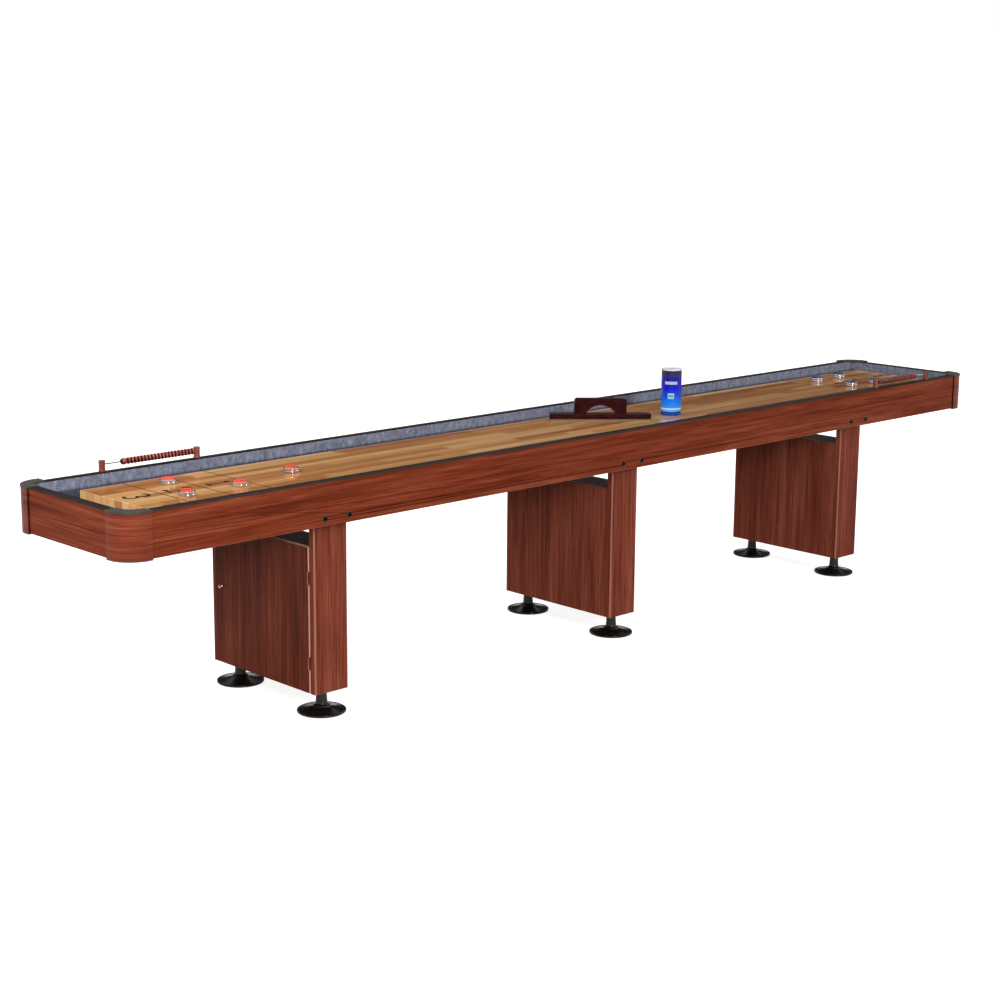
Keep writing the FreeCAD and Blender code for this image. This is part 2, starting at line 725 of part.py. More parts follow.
# ---------------------------------------------------------------- scorers
def bead_row(length, count, first_x, side, middle_x):
    """A row of beads on the rod: each has a round belly between two narrow ends."""
    body_length = length - bead_play
    points = [(none, rod_bore_radius), (none, bead_end_radius), (body_length, bead_end_radius),
              (body_length, rod_bore_radius)]
    rise = bead_radius - bead_end_radius
    half = body_length / 2
    belly = (half * half + rise * rise) / (rise * 2)
    body = revolved("Beads", points, {1: (belly, 1)}, "H_Axis")
    if count > 1:
        pattern = body.newObject("PartDesign::LinearPattern", "Row")
        pattern.Originals = [body.Tip]
        pattern.Direction = (body.Tip.Profile[0], ["H_Axis"])
        bind(pattern, "Length", length * (count - 1))
        pattern.Occurrences = count
        body.Tip = pattern
    return place(body, middle_x + first_x * side, scorer_y * side, rim_height + rod_height,
                 0 if side > 0 else 180)


def make_scorers():
    posts = []
    rods = []
    z = rim_height + rod_height
    for name, middle_x, side in (("left", -left_scorer_place, 1), ("right", right_scorer_place, -1)):
        y = scorer_y * side
        rod_start = middle_x - scorer_span / 2 - rod_socket
        rod_length = scorer_span + rod_socket * 2
        rods.append(cylinder(rod_radius, rod_length, rod_start, y, z, "X"))
        for post_side in (-1, 1):
            points = [(none, none), (scorer_post_radius, none),
                      (scorer_post_radius, scorer_post_height - scorer_post_round),
                      (scorer_post_radius - scorer_post_round, scorer_post_height),
                      (none, scorer_post_height)]
            post = revolved("ScorerPost", points, {2: (scorer_post_round, 1)})
            place(post, middle_x + scorer_span / 2 * post_side, y, rim_height)
            posts.append(cut(post, [cylinder(rod_radius, rod_length, rod_start, y, z, "X")]))
        first = bead_row_start - bead_pitch * bead_count
        finish(bead_row(bead_pitch, bead_count, first, side, middle_x), f"{name}_scorer_beads")
        lead = bead_row(lead_bead_length, 1, first - lead_bead_length, side, middle_x)
        finish(lead, f"{name}_scorer_lead_bead")
    finish(group(posts), "scorer_posts")
    finish(group(rods), "scorer_rods")


# ---------------------------------------------------------------- game set
def make_puck(label, x, y):
    """A steel weight with a waist, and a coloured cap that is let into its top."""
    top_edge = puck_body_height - puck_edge
    weight_points = [(none, none), (puck_radius - puck_round, none), (puck_radius, puck_round),
                     (puck_radius, puck_edge), (puck_waist_radius, puck_edge + puck_round),
                     (puck_waist_radius, top_edge - puck_round), (puck_radius, top_edge),
                     (puck_radius, puck_body_height - puck_round),
                     (puck_radius - puck_round, puck_body_height), (none, puck_body_height)]
    weight = revolved("Weight", weight_points)
    place(weight, x, y, board_top)
    cap_top = puck_body_height + puck_cap_height
    cap_points = [(none, puck_body_height), (puck_cap_radius, puck_body_height),
                  (puck_cap_radius, cap_top - puck_cap_round), (puck_cap_radius - puck_cap_round, cap_top),
                  (none, cap_top)]
    cap = revolved("Cap", cap_points, {2: (puck_cap_round, 1)})
    place(cap, x, y, board_top)
    finish(group([weight, cap]), label)


def make_brush():
    """A sweep brush: light bristles under a long block, with an arched handle on top."""
    block_low = board_top + bristle_height
    x, y = brush_place
    turned = math.radians(brush_angle)

    def lay(piece, along, across, z):
        """Place a piece whose own corner is (along, across) from the brush's middle."""
        place(piece, along * math.cos(turned) - across * math.sin(turned) + x,
              along * math.sin(turned) + across * math.cos(turned) + y, z, brush_angle)

    block = padded("BrushBlock", "XY_Plane",
                   [(none, none), (brush_length, none), (brush_length, brush_width), (none, brush_width)],
                   brush_block_height)
    rounded(block, brush_block_round, lambda edge: edge.CenterOfMass.z > EDGE_TOLERANCE)
    lay(block, -brush_length / 2, -brush_width / 2, block_low)
    finish(block, "brush_block")

    inner_length = brush_length - bristle_inset * 2
    inner_width = brush_width - bristle_inset * 2
    corners = [(none, none), (inner_length, none), (inner_length, inner_width), (none, inner_width)]
    bristles = padded("Bristles", "XY_Plane", corners, bristle_height)
    lay(bristles, -inner_length / 2, -inner_width / 2, board_top)
    finish(bristles, "brush_bristles")

    middle = handle_length / 2
    arch_radius = (arch_half_width * arch_half_width + arch_rise * arch_rise) / (arch_rise * 2)
    points = [(none, none), (middle - arch_half_width, none), (middle + arch_half_width, none),
              (handle_length, none), (handle_length, handle_height - handle_round),
              (handle_length - handle_round, handle_height), (handle_round, handle_height),
              (none, handle_height - handle_round)]
    arcs = {1: (arch_radius, 1), 4: (handle_round, -1), 6: (handle_round, -1)}
    handle = padded("BrushHandle", "XZ_Plane", points, handle_thickness, arcs)
    lay(handle, -handle_length / 2, handle_thickness / 2, block_low + brush_block_height)
    finish(handle, "brush_handle")


def make_can():
    """A full can of wax with a rolled seam at its foot, and a push-on lid."""
    shoulder = can_height - can_lid_height
    body_points = [(none, none), (can_radius, none), (can_radius, can_seam_height),
                   (can_radius - can_seam, can_seam_height + can_seam_slope),
                   (can_radius - can_seam, shoulder), (none, shoulder)]
    can = revolved("Can", body_points)
    place(can, can_place[0], can_place[1], board_top)
    finish(can, "wax_can")
    recess_radius = can_radius - lid_rim_width - lid_recess_slope
    lid_points = [(none, shoulder), (can_radius, shoulder), (can_radius, can_height - lid_chamfer),
                  (can_radius - lid_chamfer, can_height), (can_radius - lid_rim_width, can_height),
                  (recess_radius, can_height - lid_recess), (none, can_height - lid_recess)]
    lid = revolved("Lid", lid_points)
    place(lid, can_place[0], can_place[1], board_top)
    finish(lid, "wax_can_lid")


# ---------------------------------------------------------------- the whole table
make_side_rails()
make_end_rails()
make_corners()
make_rim_strips()
make_lining()
make_floor()
make_corner_brackets()
make_playfield()
for leg_name, leg_place in leg_places.items():
    make_leg_panel(f"leg_{leg_name}_front_panel", leg_place, 1)
    make_leg_panel(f"leg_{leg_name}_back_panel", leg_place, -1)
make_leg_boxes()
make_leg_bolts()
make_door("left", leg_places["left"], 1)
make_door("right", leg_places["right"], -1)
make_catches()
make_levelers()
make_scorers()
make_brush()
make_can()
for puck_number, puck_place in enumerate(red_pucks, 1):
    make_puck(f"red_puck_{puck_number}", *puck_place)
for puck_number, puck_place in enumerate(blue_pucks, 1):
    make_puck(f"blue_puck_{puck_number}", *puck_place)

doc.recompute()
for item in doc.Objects:
    if "Invalid" in item.State or "Error" in item.State:
        raise RuntimeError(f"{item.Label} failed: {item.State}")
for item in finished:
    if item.Shape.isNull() or not item.Shape.isValid():
        raise RuntimeError(f"{item.Label} has no valid shape")

os.makedirs("parts", exist_ok=True)
for item in finished:
    item.Shape.exportStep(f"parts/{item.Label}.step")
    print(f"{item.Label}: {len(item.Shape.Solids)} solids, {item.Shape.Volume:.0f} mm3")
print(len(finished), "sub-parts")
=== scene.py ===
import math
import random

import bmesh
import bpy
from mathutils import Matrix, Vector


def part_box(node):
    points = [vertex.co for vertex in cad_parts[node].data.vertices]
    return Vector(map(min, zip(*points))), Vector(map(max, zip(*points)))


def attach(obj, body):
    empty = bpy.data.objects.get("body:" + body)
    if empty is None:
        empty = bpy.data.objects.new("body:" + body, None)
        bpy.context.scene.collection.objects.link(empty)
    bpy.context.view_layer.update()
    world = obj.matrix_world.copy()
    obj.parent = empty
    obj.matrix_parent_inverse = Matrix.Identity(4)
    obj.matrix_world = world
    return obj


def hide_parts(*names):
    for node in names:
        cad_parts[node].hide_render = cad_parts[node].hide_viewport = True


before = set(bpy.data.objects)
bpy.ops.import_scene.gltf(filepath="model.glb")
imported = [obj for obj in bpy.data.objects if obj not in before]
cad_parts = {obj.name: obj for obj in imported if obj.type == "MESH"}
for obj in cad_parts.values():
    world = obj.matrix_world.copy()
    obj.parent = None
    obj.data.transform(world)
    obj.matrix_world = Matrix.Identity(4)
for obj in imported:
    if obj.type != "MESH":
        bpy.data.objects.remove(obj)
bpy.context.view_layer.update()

# The looks of a fourteen-foot shuffleboard table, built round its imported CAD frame.
#
# Places are in metres, in the frame's own axes: X along the table, -Y the front, Z up. Shapes are
# drawn in millimetres about their own middle and then put in place, so sizes read as on a drawing.

MM = 0.001
FULL_TURN = 2 * math.pi
SMOOTH_ANGLE = math.radians(38)
LEGS = ("left", "middle", "right")
random.seed(14)


# ---------------- finishes
def rgb(red, green, blue):
    """A linear colour with alpha from the usual 0 to 255 numbers."""
    def linear(value):
        value = value / 255
        return value / 12.92 if value <= 0.04045 else ((value + 0.055) / 1.055) ** 2.4
    return (linear(red), linear(green), linear(blue), 1.0)


def shades(*stops):
    """Colour stops, each from its place between 0 and 1 and its red, green and blue."""
    return [(place, rgb(*colour)) for place, *colour in stops]


def set_stops(node, stops):
    """Give a colour ramp its stops, each a place and a colour."""
    elements = node.color_ramp.elements
    while len(elements) < len(stops):
        elements.new(0.5)
    for element, (position, colour) in zip(elements, stops):
        element.position = position
        element.color = colour


FACING = (0.80, 0.88)
USUAL_NOISE = (0.3, 0.7)


class Finish:
    """A procedural material whose patterns lie in the piece's own coordinates, in metres."""

    def __init__(self, name, **shader):
        self.material = bpy.data.materials.new(name)
        self.material.use_nodes = True
        self.nodes = self.material.node_tree.nodes
        self.links = self.material.node_tree.links
        self.surface = self.nodes["Principled BSDF"]
        coordinates = self.node("TexCoord")
        self.point = coordinates.outputs["Object"]
        self.normal = coordinates.outputs["Normal"]
        for socket, value in shader.items():
            self.surface.inputs[socket.replace("_", " ")].default_value = value

    def feed(self, socket, value):
        if isinstance(value, bpy.types.NodeSocket):
            self.links.new(value, socket)
        else:
            socket.default_value = value

    def node(self, kind, inputs=None, **settings):
        made = self.nodes.new("ShaderNode" + kind)
        for key, value in settings.items():
            setattr(made, key, value)
        for socket, value in (inputs or {}).items():
            self.feed(made.inputs[socket], value)
        return made

    def stretched(self, stretch, point=None):
        """The point with each axis scaled, so that a pattern of size 1 has 1 / stretch metres."""
        return self.node("Mapping", {"Vector": point or self.point, "Scale": stretch}).outputs[0]

    def noise(self, stretch, detail, rough, warp=0.0, point=None):
        """Fractal noise from 0 to 1, with features of about 1 / stretch metres along each axis."""
        made = self.node("TexNoise", {"Vector": self.stretched(stretch, point), "Scale": 1.0,
                                      "Detail": detail, "Roughness": rough, "Distortion": warp})
        return made.outputs[0]

    def calc(self, operation, first, second=0.0, third=0.0):
        made = self.node("Math", operation=operation)
        for socket, value in zip(made.inputs, (first, second, third)):
            self.feed(socket, value)
        return made.outputs[0]

    def blend(self, *shares):
        """The sum of some patterns, each times its share."""
        total = 0.0
        for value, share in shares:
            total = self.calc("MULTIPLY_ADD", value, share, total)
        return total

    def between(self, value, low, high, to_low=0.0, to_high=1.0):
        """Value carried from low..high to to_low..to_high, and held at the ends."""
        made = self.node("MapRange", {0: value, 1: low, 2: high, 3: to_low, 4: to_high})
        return made.outputs[0]

    def ramp(self, factor, stops):
        made = self.node("ValToRGB", {0: factor})
        set_stops(made, stops)
        return made.outputs[0]

    def mix(self, factor, first, second):
        made = self.node("Mix", data_type="RGBA")
        for socket, value in zip((0, 6, 7), (factor, first, second)):
            self.feed(made.inputs[socket], value)
        return made.outputs[2]

    def axes(self, vector):
        return self.node("SeparateXYZ", {0: vector}).outputs

    def facing(self, axis):
        """1 where the surface faces along an axis (0, 1 or 2), either way."""
        part = self.calc("ABSOLUTE", self.axes(self.normal)[axis])
        return self.between(part, *FACING)

    def colour(self, value):
        self.feed(self.surface.inputs["Base Color"], value)

    def roughness(self, factor, low, high):
        self.feed(self.surface.inputs["Roughness"], self.between(factor, *USUAL_NOISE, low, high))

    def bump(self, height, depth, strength=1.0):
        """Relief of a depth in metres, laid over any relief given before."""
        socket = self.surface.inputs["Normal"]
        made = self.node("Bump", {"Height": height, "Distance": depth, "Strength": strength})
        if socket.is_linked:
            self.feed(made.inputs["Normal"], socket.links[0].from_socket)
        self.feed(socket, made.outputs[0])


def along(axes, length, across):
    """How a grain stretches: its features are length metres long along the axes, and across over them."""
    return tuple(1 / (length if axis in axes else across) for axis in range(3))


LENGTHWAYS = (0,)
CROSSWAYS = (1,)
UPRIGHT = (2,)
LEVEL = (0, 1)
LAMINATE_GLOSS = 0.04
LAMINATE_ROUGHNESS = (0.27, 0.38)
LAMINATE_CONTRAST = (0.42, 0.78)
PORES = (0.60, 0.75)
PORE_STRENGTH = 0.5
PORE_DEPTH = 0.00006
GRAIN_DEPTH = 0.00004
# Where a corner counts as round, from its normal's east times north, for the painted highlight on it, and
# where a face turns down.
ROUND_CORNER = (0.26, 0.44)
UNDERSIDE = (-0.25, -0.6)

RAIL_TONES = shades((0.0, 76, 25, 13), (0.3, 110, 43, 23), (0.6, 139, 62, 38), (1.0, 172, 91, 64))
LEG_TONES = shades((0.0, 84, 34, 24), (0.35, 124, 57, 41), (0.65, 150, 78, 58), (1.0, 180, 102, 80))
DOOR_TONES = shades((0.0, 60, 22, 13), (0.35, 98, 42, 27), (0.65, 124, 59, 40), (1.0, 154, 80, 58))
PORE_TONE = rgb(34, 10, 6)
# The pale cut edge of the laminate, brightened as a painted highlight where light catches the doors'
# edges.
PALE_EDGE_AND_HIGHLIGHT = rgb(222, 178, 152)
# Painted highlight: the tone the leg panels' rounded corners are paled towards, where light catches them.
CORNER_HIGHLIGHT_TONE = rgb(206, 146, 124)


def cherry(name, axes, tones, band_axes=(), corner_highlight=0.0, under=0.0, gloss=LAMINATE_GLOSS):
    """Cherry laminate with its grain along some axes.

    Faces along band_axes show the paler cut edge, brightened as a painted highlight, corner_highlight is
    how strong the painted highlight on the panel's rounded corners is, and under is how pale its lower
    edge is.
    """
    finish = Finish(name, Specular_IOR_Level=gloss)
    figure = finish.noise(along(axes, 0.34, 0.0062), 6.0, 0.66, 1.1)
    cloud = finish.noise(along(axes, 0.7, 0.035), 3.0, 0.5, 0.6)
    fine = finish.noise(along(axes, 0.16, 0.0024), 3.0, 0.6)
    pores = finish.noise(along(axes, 0.022, 0.0008), 2.0, 0.5)
    grain = finish.blend((figure, 0.60), (cloud, 0.40), (fine, 0.20))
    wood = finish.ramp(finish.between(grain, *LAMINATE_CONTRAST), tones)
    wood = finish.mix(finish.between(pores, *PORES, 0.0, PORE_STRENGTH), wood, PORE_TONE)
    east, north, up = finish.axes(finish.normal)
    if corner_highlight:
        # Painted highlight on the rounded corners, set by how far the normal leans between east and
        # north.
        corner_highlight_mask = finish.calc("ABSOLUTE", finish.calc("MULTIPLY", east, north))
        wood = finish.mix(finish.between(corner_highlight_mask, *ROUND_CORNER, 0.0, corner_highlight), wood, CORNER_HIGHLIGHT_TONE)
    if under:
        wood = finish.mix(finish.between(up, *UNDERSIDE, 0.0, under), wood, PALE_EDGE_AND_HIGHLIGHT)
    # Faces along band_axes take the pale cut edge, brightened as a painted highlight.
    for band_axis in band_axes:
        wood = finish.mix(finish.facing(band_axis), wood, PALE_EDGE_AND_HIGHLIGHT)
    finish.colour(wood)
    finish.roughness(fine, *LAMINATE_ROUGHNESS)
    finish.bump(pores, -PORE_DEPTH, 0.5)
    finish.bump(fine, GRAIN_DEPTH, 0.4)
    return finish.material


STRIP_COUNT = 10
BLOCK_LENGTH = 0.62
BLOCK_STAGGER = 7.0
MAPLE_CONTRAST = (0.32, 0.90)
SEAM_HALF = 0.014
BUTT_HALF = 0.0012
END_SEAM_HALF = 0.05
SEAM_STRENGTH = 0.4
END_SEAM_STRENGTH = 0.75
SEAM_TONE = rgb(120, 70, 34)
MAPLE_TONES = shades((0.0, 150, 84, 38), (0.35, 198, 132, 72), (0.65, 222, 163, 99), (1.0, 246, 206, 148))
END_TONES = shades((0.0, 200, 122, 58), (0.45, 240, 178, 112), (1.0, 255, 230, 180))


def maple_board():
    """The playfield: staggered maple strips under a thick clear coat, with block ends."""
    finish = Finish("playfield_maple", Coat_Weight=1.0, Coat_Roughness=0.04, Coat_IOR=1.45,
                    Specular_IOR_Level=0.2)
    low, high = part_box("playfield")
    strip = (high.y - low.y) / STRIP_COUNT
    x, y = finish.axes(finish.point)[:2]
    across = finish.calc("DIVIDE", finish.calc("SUBTRACT", y, low.y), strip)
    row = finish.calc("FLOOR", across)
    chance = finish.node("TexWhiteNoise", {"W": row}, noise_dimensions="1D").outputs[0]
    lengthways = finish.calc("MULTIPLY_ADD", chance, BLOCK_STAGGER,
                             finish.calc("DIVIDE", x, BLOCK_LENGTH))
    block = finish.calc("FLOOR", lengthways)
    pair = finish.node("CombineXYZ", {"X": row, "Y": block}).outputs[0]
    tone = finish.node("TexWhiteNoise", {"Vector": pair}, noise_dimensions="2D").outputs[0]

    shift = finish.node("CombineXYZ", {"X": finish.calc("MULTIPLY", tone, 9.0),
                                       "Z": finish.calc("MULTIPLY", tone, 5.0)}).outputs[0]
    shifted = finish.node("VectorMath", {0: finish.point, 1: shift}).outputs[0]
    grain = finish.noise(along(LENGTHWAYS, 0.5, 0.010), 5.0, 0.6, 0.8, point=shifted)
    fine = finish.noise(along(LENGTHWAYS, 0.09, 0.0016), 3.0, 0.6)
    figure = finish.blend((grain, 0.60), (tone, 0.42), (fine, 0.14))
    wood = finish.ramp(finish.between(figure, *MAPLE_CONTRAST), MAPLE_TONES)

    seam_across = finish.calc("PINGPONG", across, 0.5)
    seam_along = finish.calc("PINGPONG", lengthways, 0.5)
    seam = finish.calc("MAXIMUM", finish.between(seam_across, 0.0, SEAM_HALF, 1.0, 0.0),
                       finish.between(seam_along, 0.0, BUTT_HALF, 1.0, 0.0))
    wood = finish.mix(finish.calc("MULTIPLY", seam, SEAM_STRENGTH), wood, SEAM_TONE)

    rings = finish.node("TexWave", {"Vector": finish.stretched((0, 1, 1), shifted), "Scale": 55.0,
                                    "Distortion": 5.0, "Detail": 2.0, "Detail Scale": 0.6},
                        wave_type="RINGS", rings_direction="X").outputs[1]
    every_other = finish.calc("PINGPONG", row, 1.0)
    ends = finish.ramp(finish.blend((rings, 0.25), (every_other, 0.22), (chance, 0.42)), END_TONES)
    end_seam = finish.between(seam_across, 0.0, END_SEAM_HALF, END_SEAM_STRENGTH, 0.0)
    ends = finish.mix(end_seam, ends, SEAM_TONE)
    finish.colour(finish.mix(finish.facing(0), wood, ends))
    finish.roughness(fine, 0.30, 0.42)
    return finish.material


CARPET_TONES = shades((0.0, 70, 74, 88), (0.4, 124, 128, 146), (0.7, 166, 171, 192), (1.0, 216, 222, 240))
PAINTED_GUTTER_SHADE = rgb(34, 38, 46)
CARPET_CONTRAST = (0.36, 0.76)
# How far below the playfield's top the painted shade in the gutter is darkest, and where it has faded
# out.
SHADE_FULL = 0.015
SHADE_END = 0.007
SHADE_STRENGTH = 0.75
TUFT_DEPTH = 0.0018
FIBRE_DEPTH = 0.0009


def carpet():
    """Short heathered pile: grey-blue and charcoal fibres in uneven tufts, with painted shade low in the
    gutter.
    """
    finish = Finish("gutter_carpet", Roughness=0.95, Specular_IOR_Level=0.1, Sheen_Weight=0.3,
                    Sheen_Roughness=0.45)
    fibres = finish.noise((620, 620, 620), 3.0, 0.7)
    tufts = finish.noise((190, 190, 260), 4.0, 0.65, 0.6)
    patches = finish.noise((52, 52, 34), 3.0, 0.6, 0.5)
    heather = finish.blend((fibres, 0.30), (tufts, 0.42), (patches, 0.36))
    pile_tone = finish.ramp(finish.between(heather, *CARPET_CONTRAST), CARPET_TONES)
    board_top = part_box("playfield")[1].z
    height = finish.axes(finish.point)[2]
    # Painted shade: the pile is darkened low in the gutter, where the playfield shades it.
    low = finish.between(height, board_top - SHADE_FULL, board_top - SHADE_END, SHADE_STRENGTH, 0.0)
    finish.colour(finish.mix(low, pile_tone, PAINTED_GUTTER_SHADE))
    finish.bump(tufts, TUFT_DEPTH, 0.9)
    finish.bump(fibres, FIBRE_DEPTH, 0.9)
    return finish.material


def moulded(name, colour, paler, low, high, grain=0.0007, relief=0.00003, edge=None, **shader):
    """Moulded plastic: a fine even grain, slight changes of tone and gloss, and perhaps a painted
    highlight on its edges.
    """
    finish = Finish(name, **shader)
    fine = finish.noise((1 / grain,) * 3, 2.0, 0.5)
    broad = finish.noise((22, 22, 22), 3.0, 0.5)
    tone = finish.mix(finish.between(broad, *USUAL_NOISE), colour, paler)
    if edge:
        # Painted highlight: where the surface turns over an edge it is paled towards the edge colour.
        up = finish.calc("ABSOLUTE", finish.axes(finish.normal)[2])
        painted_edge_highlight = finish.calc("MULTIPLY", finish.between(up, 0.97, 0.85), finish.between(up, 0.05, 0.3))
        tone = finish.mix(painted_edge_highlight, tone, edge)
    finish.colour(tone)
    finish.roughness(broad, low, high)
    finish.bump(fine, relief, 0.6)
    return finish.material


def metal(name, colour, darker, low, high, stretch=(900, 900, 900), relief=0.00001):
    """Bare or plated metal with faint brushing and a few duller patches."""
    finish = Finish(name, Metallic=1.0)
    brushed = finish.noise(stretch, 3.0, 0.6)
    dull = finish.noise((45, 45, 45), 4.0, 0.6)
    finish.colour(finish.mix(finish.between(dull, 0.35, 0.75), colour, darker))
    finish.roughness(dull, low, high)
    finish.bump(brushed, relief, 0.5)
    return finish.material


def turned_wood(name, tones, axes, low, high, coat, neck_shade=None):
    """Lacquered solid wood with close grain, and perhaps painted shade towards a bead's ends, between the
    beads.
    """
    finish = Finish(name, Coat_Weight=coat, Coat_Roughness=0.12, Specular_IOR_Level=0.12)
    grain = finish.noise(along(axes, 0.06, 0.0022), 4.0, 0.6, 0.5)
    cloud = finish.noise(along(axes, 0.12, 0.02), 2.0, 0.5)
    figure = finish.blend((grain, 0.5), (cloud, 0.5))
    wood = finish.ramp(finish.between(figure, *USUAL_NOISE), tones)
    if neck_shade:
        # Painted shade: the bead's flanks that face its neighbours are darkened.
        endways = finish.calc("ABSOLUTE", finish.axes(finish.normal)[0])
        wood = finish.mix(finish.between(endways, 0.35, 0.8), wood, neck_shade)
    finish.colour(wood)
    finish.roughness(grain, low, high)
    finish.bump(grain, 0.00008, 0.4)
    return finish.material


CHIPS_PER_METRE = 260.0
BOARD_TONES = shades((0.0, 120, 92, 62), (0.5, 160, 130, 94), (1.0, 190, 162, 124))


def floor_board():
    """Bare particle board: pale brown chips pressed flat."""
    finish = Finish("floor_board", Specular_IOR_Level=0.25)
    chips = finish.node("TexVoronoi", {"Vector": finish.point, "Scale": CHIPS_PER_METRE})
    fine = finish.noise((800, 800, 800), 3.0, 0.6)
    chip_tone = finish.axes(chips.outputs["Color"])[0]
    finish.colour(finish.ramp(finish.blend((fine, 0.4), (chip_tone, 0.6)), BOARD_TONES))
    finish.roughness(fine, 0.75, 0.9)
    finish.bump(chips.outputs["Distance"], 0.0002, 0.5)
    return finish.material


CAN_TONES = shades((0.0, 20, 50, 134), (0.09, 28, 80, 176), (0.12, 74, 172, 255), (0.22, 34, 144, 255),
                   (0.45, 10, 76, 240), (0.60, 2, 12, 216), (0.84, 6, 6, 160), (0.87, 50, 40, 100),
                   (1.0, 44, 34, 80))
CAN_FRONT = math.radians(-140)
CAN_EDGE_BLUR = 0.004
CAN_SIDE_BLUR = 0.03
WHITE_INK = rgb(232, 236, 244)
# Each band of the can: low and high edge as parts of the height, half its angle (0: all round), ink.
CAN_BANDS = [(0.140, 0.162, 0, WHITE_INK), (0.100, 0.110, 0, rgb(150, 205, 245)),
             (0.70, 0.76, 0.62, rgb(196, 200, 222)), (0.38, 0.50, 0.30, rgb(170, 208, 240)),
             (0.42, 0.46, 0.22, rgb(60, 170, 150))]


def can_print():
    """The can's printed tin: plain bands and a blue that pales downwards, with no lettering."""
    finish = Finish("can_print", Coat_Weight=0.35, Coat_Roughness=0.08, Specular_IOR_Level=0.2)
    low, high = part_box("wax_can")
    x, y, z = finish.axes(finish.point)
    height = finish.between(z, low.z, high.z)
    fleck = finish.noise((2200, 2200, 2200), 2.0, 0.5)
    blue = finish.ramp(height, CAN_TONES)
    middle = (low + high) / 2
    angle = finish.calc("ARCTAN2", finish.calc("SUBTRACT", y, middle.y),
                        finish.calc("SUBTRACT", x, middle.x))
    turned = finish.calc("ABSOLUTE", finish.calc("SUBTRACT", angle, CAN_FRONT))
    for band_low, band_high, half_angle, ink in CAN_BANDS:
        inside = finish.calc("MULTIPLY", finish.between(height, band_low - CAN_EDGE_BLUR, band_low),
                             finish.between(height, band_high, band_high + CAN_EDGE_BLUR, 1.0, 0.0))
        if half_angle:
            near = finish.between(turned, half_angle, half_angle + CAN_SIDE_BLUR, 1.0, 0.0)
            inside = finish.calc("MULTIPLY", inside, near)
        blue = finish.mix(inside, blue, ink)
    finish.colour(blue)
    finish.roughness(fleck, 0.22, 0.30)
    finish.bump(fleck, 0.00001, 0.3)
    return finish.material


def printed_black():
    """Black screen print on the playfield, a little rubbed away."""
    finish = Finish("score_print", Coat_Weight=0.3, Coat_Roughness=0.06, Specular_IOR_Level=0.1)
    wear = finish.noise((500, 500, 500), 4.0, 0.7)
    finish.colour(finish.ramp(finish.between(wear, 0.45, 0.8),
                              shades((0.0, 10, 6, 4), (1.0, 44, 26, 16))))
    finish.roughness(wear, 0.35, 0.5)
    return finish.material


def bristle_hair():
    """Natural bristle in fine streaks of paler and darker hair."""
    finish = Finish("bristle", Specular_IOR_Level=0.3, Sheen_Weight=0.2)
    hair = finish.noise((2500, 2500, 120), 3.0, 0.6)
    finish.colour(finish.ramp(finish.between(hair, *USUAL_NOISE),
                              shades((0.0, 120, 98, 74), (1.0, 204, 186, 158))))
    finish.roughness(hair, 0.55, 0.75)
    finish.bump(hair, 0.0003, 0.8)
    return finish.material


BEAD_TONES = shades((0.0, 104, 40, 32), (0.5, 158, 76, 62), (1.0, 200, 116, 98))
POST_TONES = shades((0.0, 84, 34, 28), (0.5, 132, 64, 54), (1.0, 172, 100, 88))
MAHOGANY_TONES = shades((0.0, 16, 2, 3), (0.5, 44, 5, 7), (1.0, 76, 13, 14))
PINE_TONES = shades((0.0, 186, 146, 96), (0.5, 212, 176, 126), (1.0, 228, 198, 152))
# Painted shade: the leg tops are given dark tones for the shade under the cabinet.
SHADED_TOP_TONES = shades((0.0, 38, 19, 14), (0.5, 60, 32, 25), (1.0, 82, 46, 37))

rail_cherry = cherry("rail_laminate", LEVEL, RAIL_TONES, under=0.8)
post_cherry = cherry("post_laminate", LEVEL, RAIL_TONES, under=0.8, gloss=0.16)
# The legs' front and back panels carry a painted highlight on their rounded corners.
leg_cherry = cherry("leg_laminate", UPRIGHT, LEG_TONES, corner_highlight=0.55)
# The doors' top and side edges show the pale cut edge, brightened as a painted highlight.
door_cherry = cherry("door_laminate", UPRIGHT, DOOR_TONES, band_axes=(1, 2))
box_cherry = cherry("leg_box_laminate", UPRIGHT, LEG_TONES)
# The leg tops' dark tones are painted shade from the cabinet above.
shaded_top_laminate = cherry("leg_top_laminate", LENGTHWAYS, SHADED_TOP_TONES, band_axes=(0,))
maple = maple_board()
pile = carpet()
# The caps' paler edge colour is a painted highlight.
cap_plastic = moulded("cap_plastic", rgb(58, 55, 51), rgb(76, 72, 66), 0.36, 0.5, relief=0.00006,
                      edge=rgb(146, 142, 134), Specular_IOR_Level=0.35)
rim_plastic = moulded("rim_strip", rgb(24, 18, 17), rgb(36, 29, 27), 0.36, 0.5, Specular_IOR_Level=0.14)
shoulder_plastic = moulded("rim_shoulder", rgb(36, 26, 22), rgb(52, 40, 35), 0.4, 0.55,
                           Specular_IOR_Level=0.2)
# Black for the strips at the posts' arm ends, partly painted shadow of the groove.
groove_shadow_black = moulded("groove_shadow_black", rgb(10, 9, 9), rgb(16, 14, 14), 0.6, 0.8, Specular_IOR_Level=0.2)
foot_plastic = moulded("foot_plastic", rgb(15, 11, 10), rgb(25, 19, 17), 0.14, 0.26)
catch_plastic = moulded("catch_plastic", rgb(188, 182, 170), rgb(206, 200, 190), 0.4, 0.55)
lid_plastic = moulded("can_lid_plastic", rgb(222, 222, 226), rgb(238, 238, 242), 0.3, 0.42,
                      Coat_Weight=0.2)
red_plastic = moulded("red_cap", rgb(226, 66, 34), rgb(238, 90, 56), 0.22, 0.34, Coat_Weight=0.3,
                      Coat_Roughness=0.1)
blue_plastic = moulded("blue_cap", rgb(18, 30, 96), rgb(30, 46, 122), 0.22, 0.34, Coat_Weight=0.3,
                       Coat_Roughness=0.1)
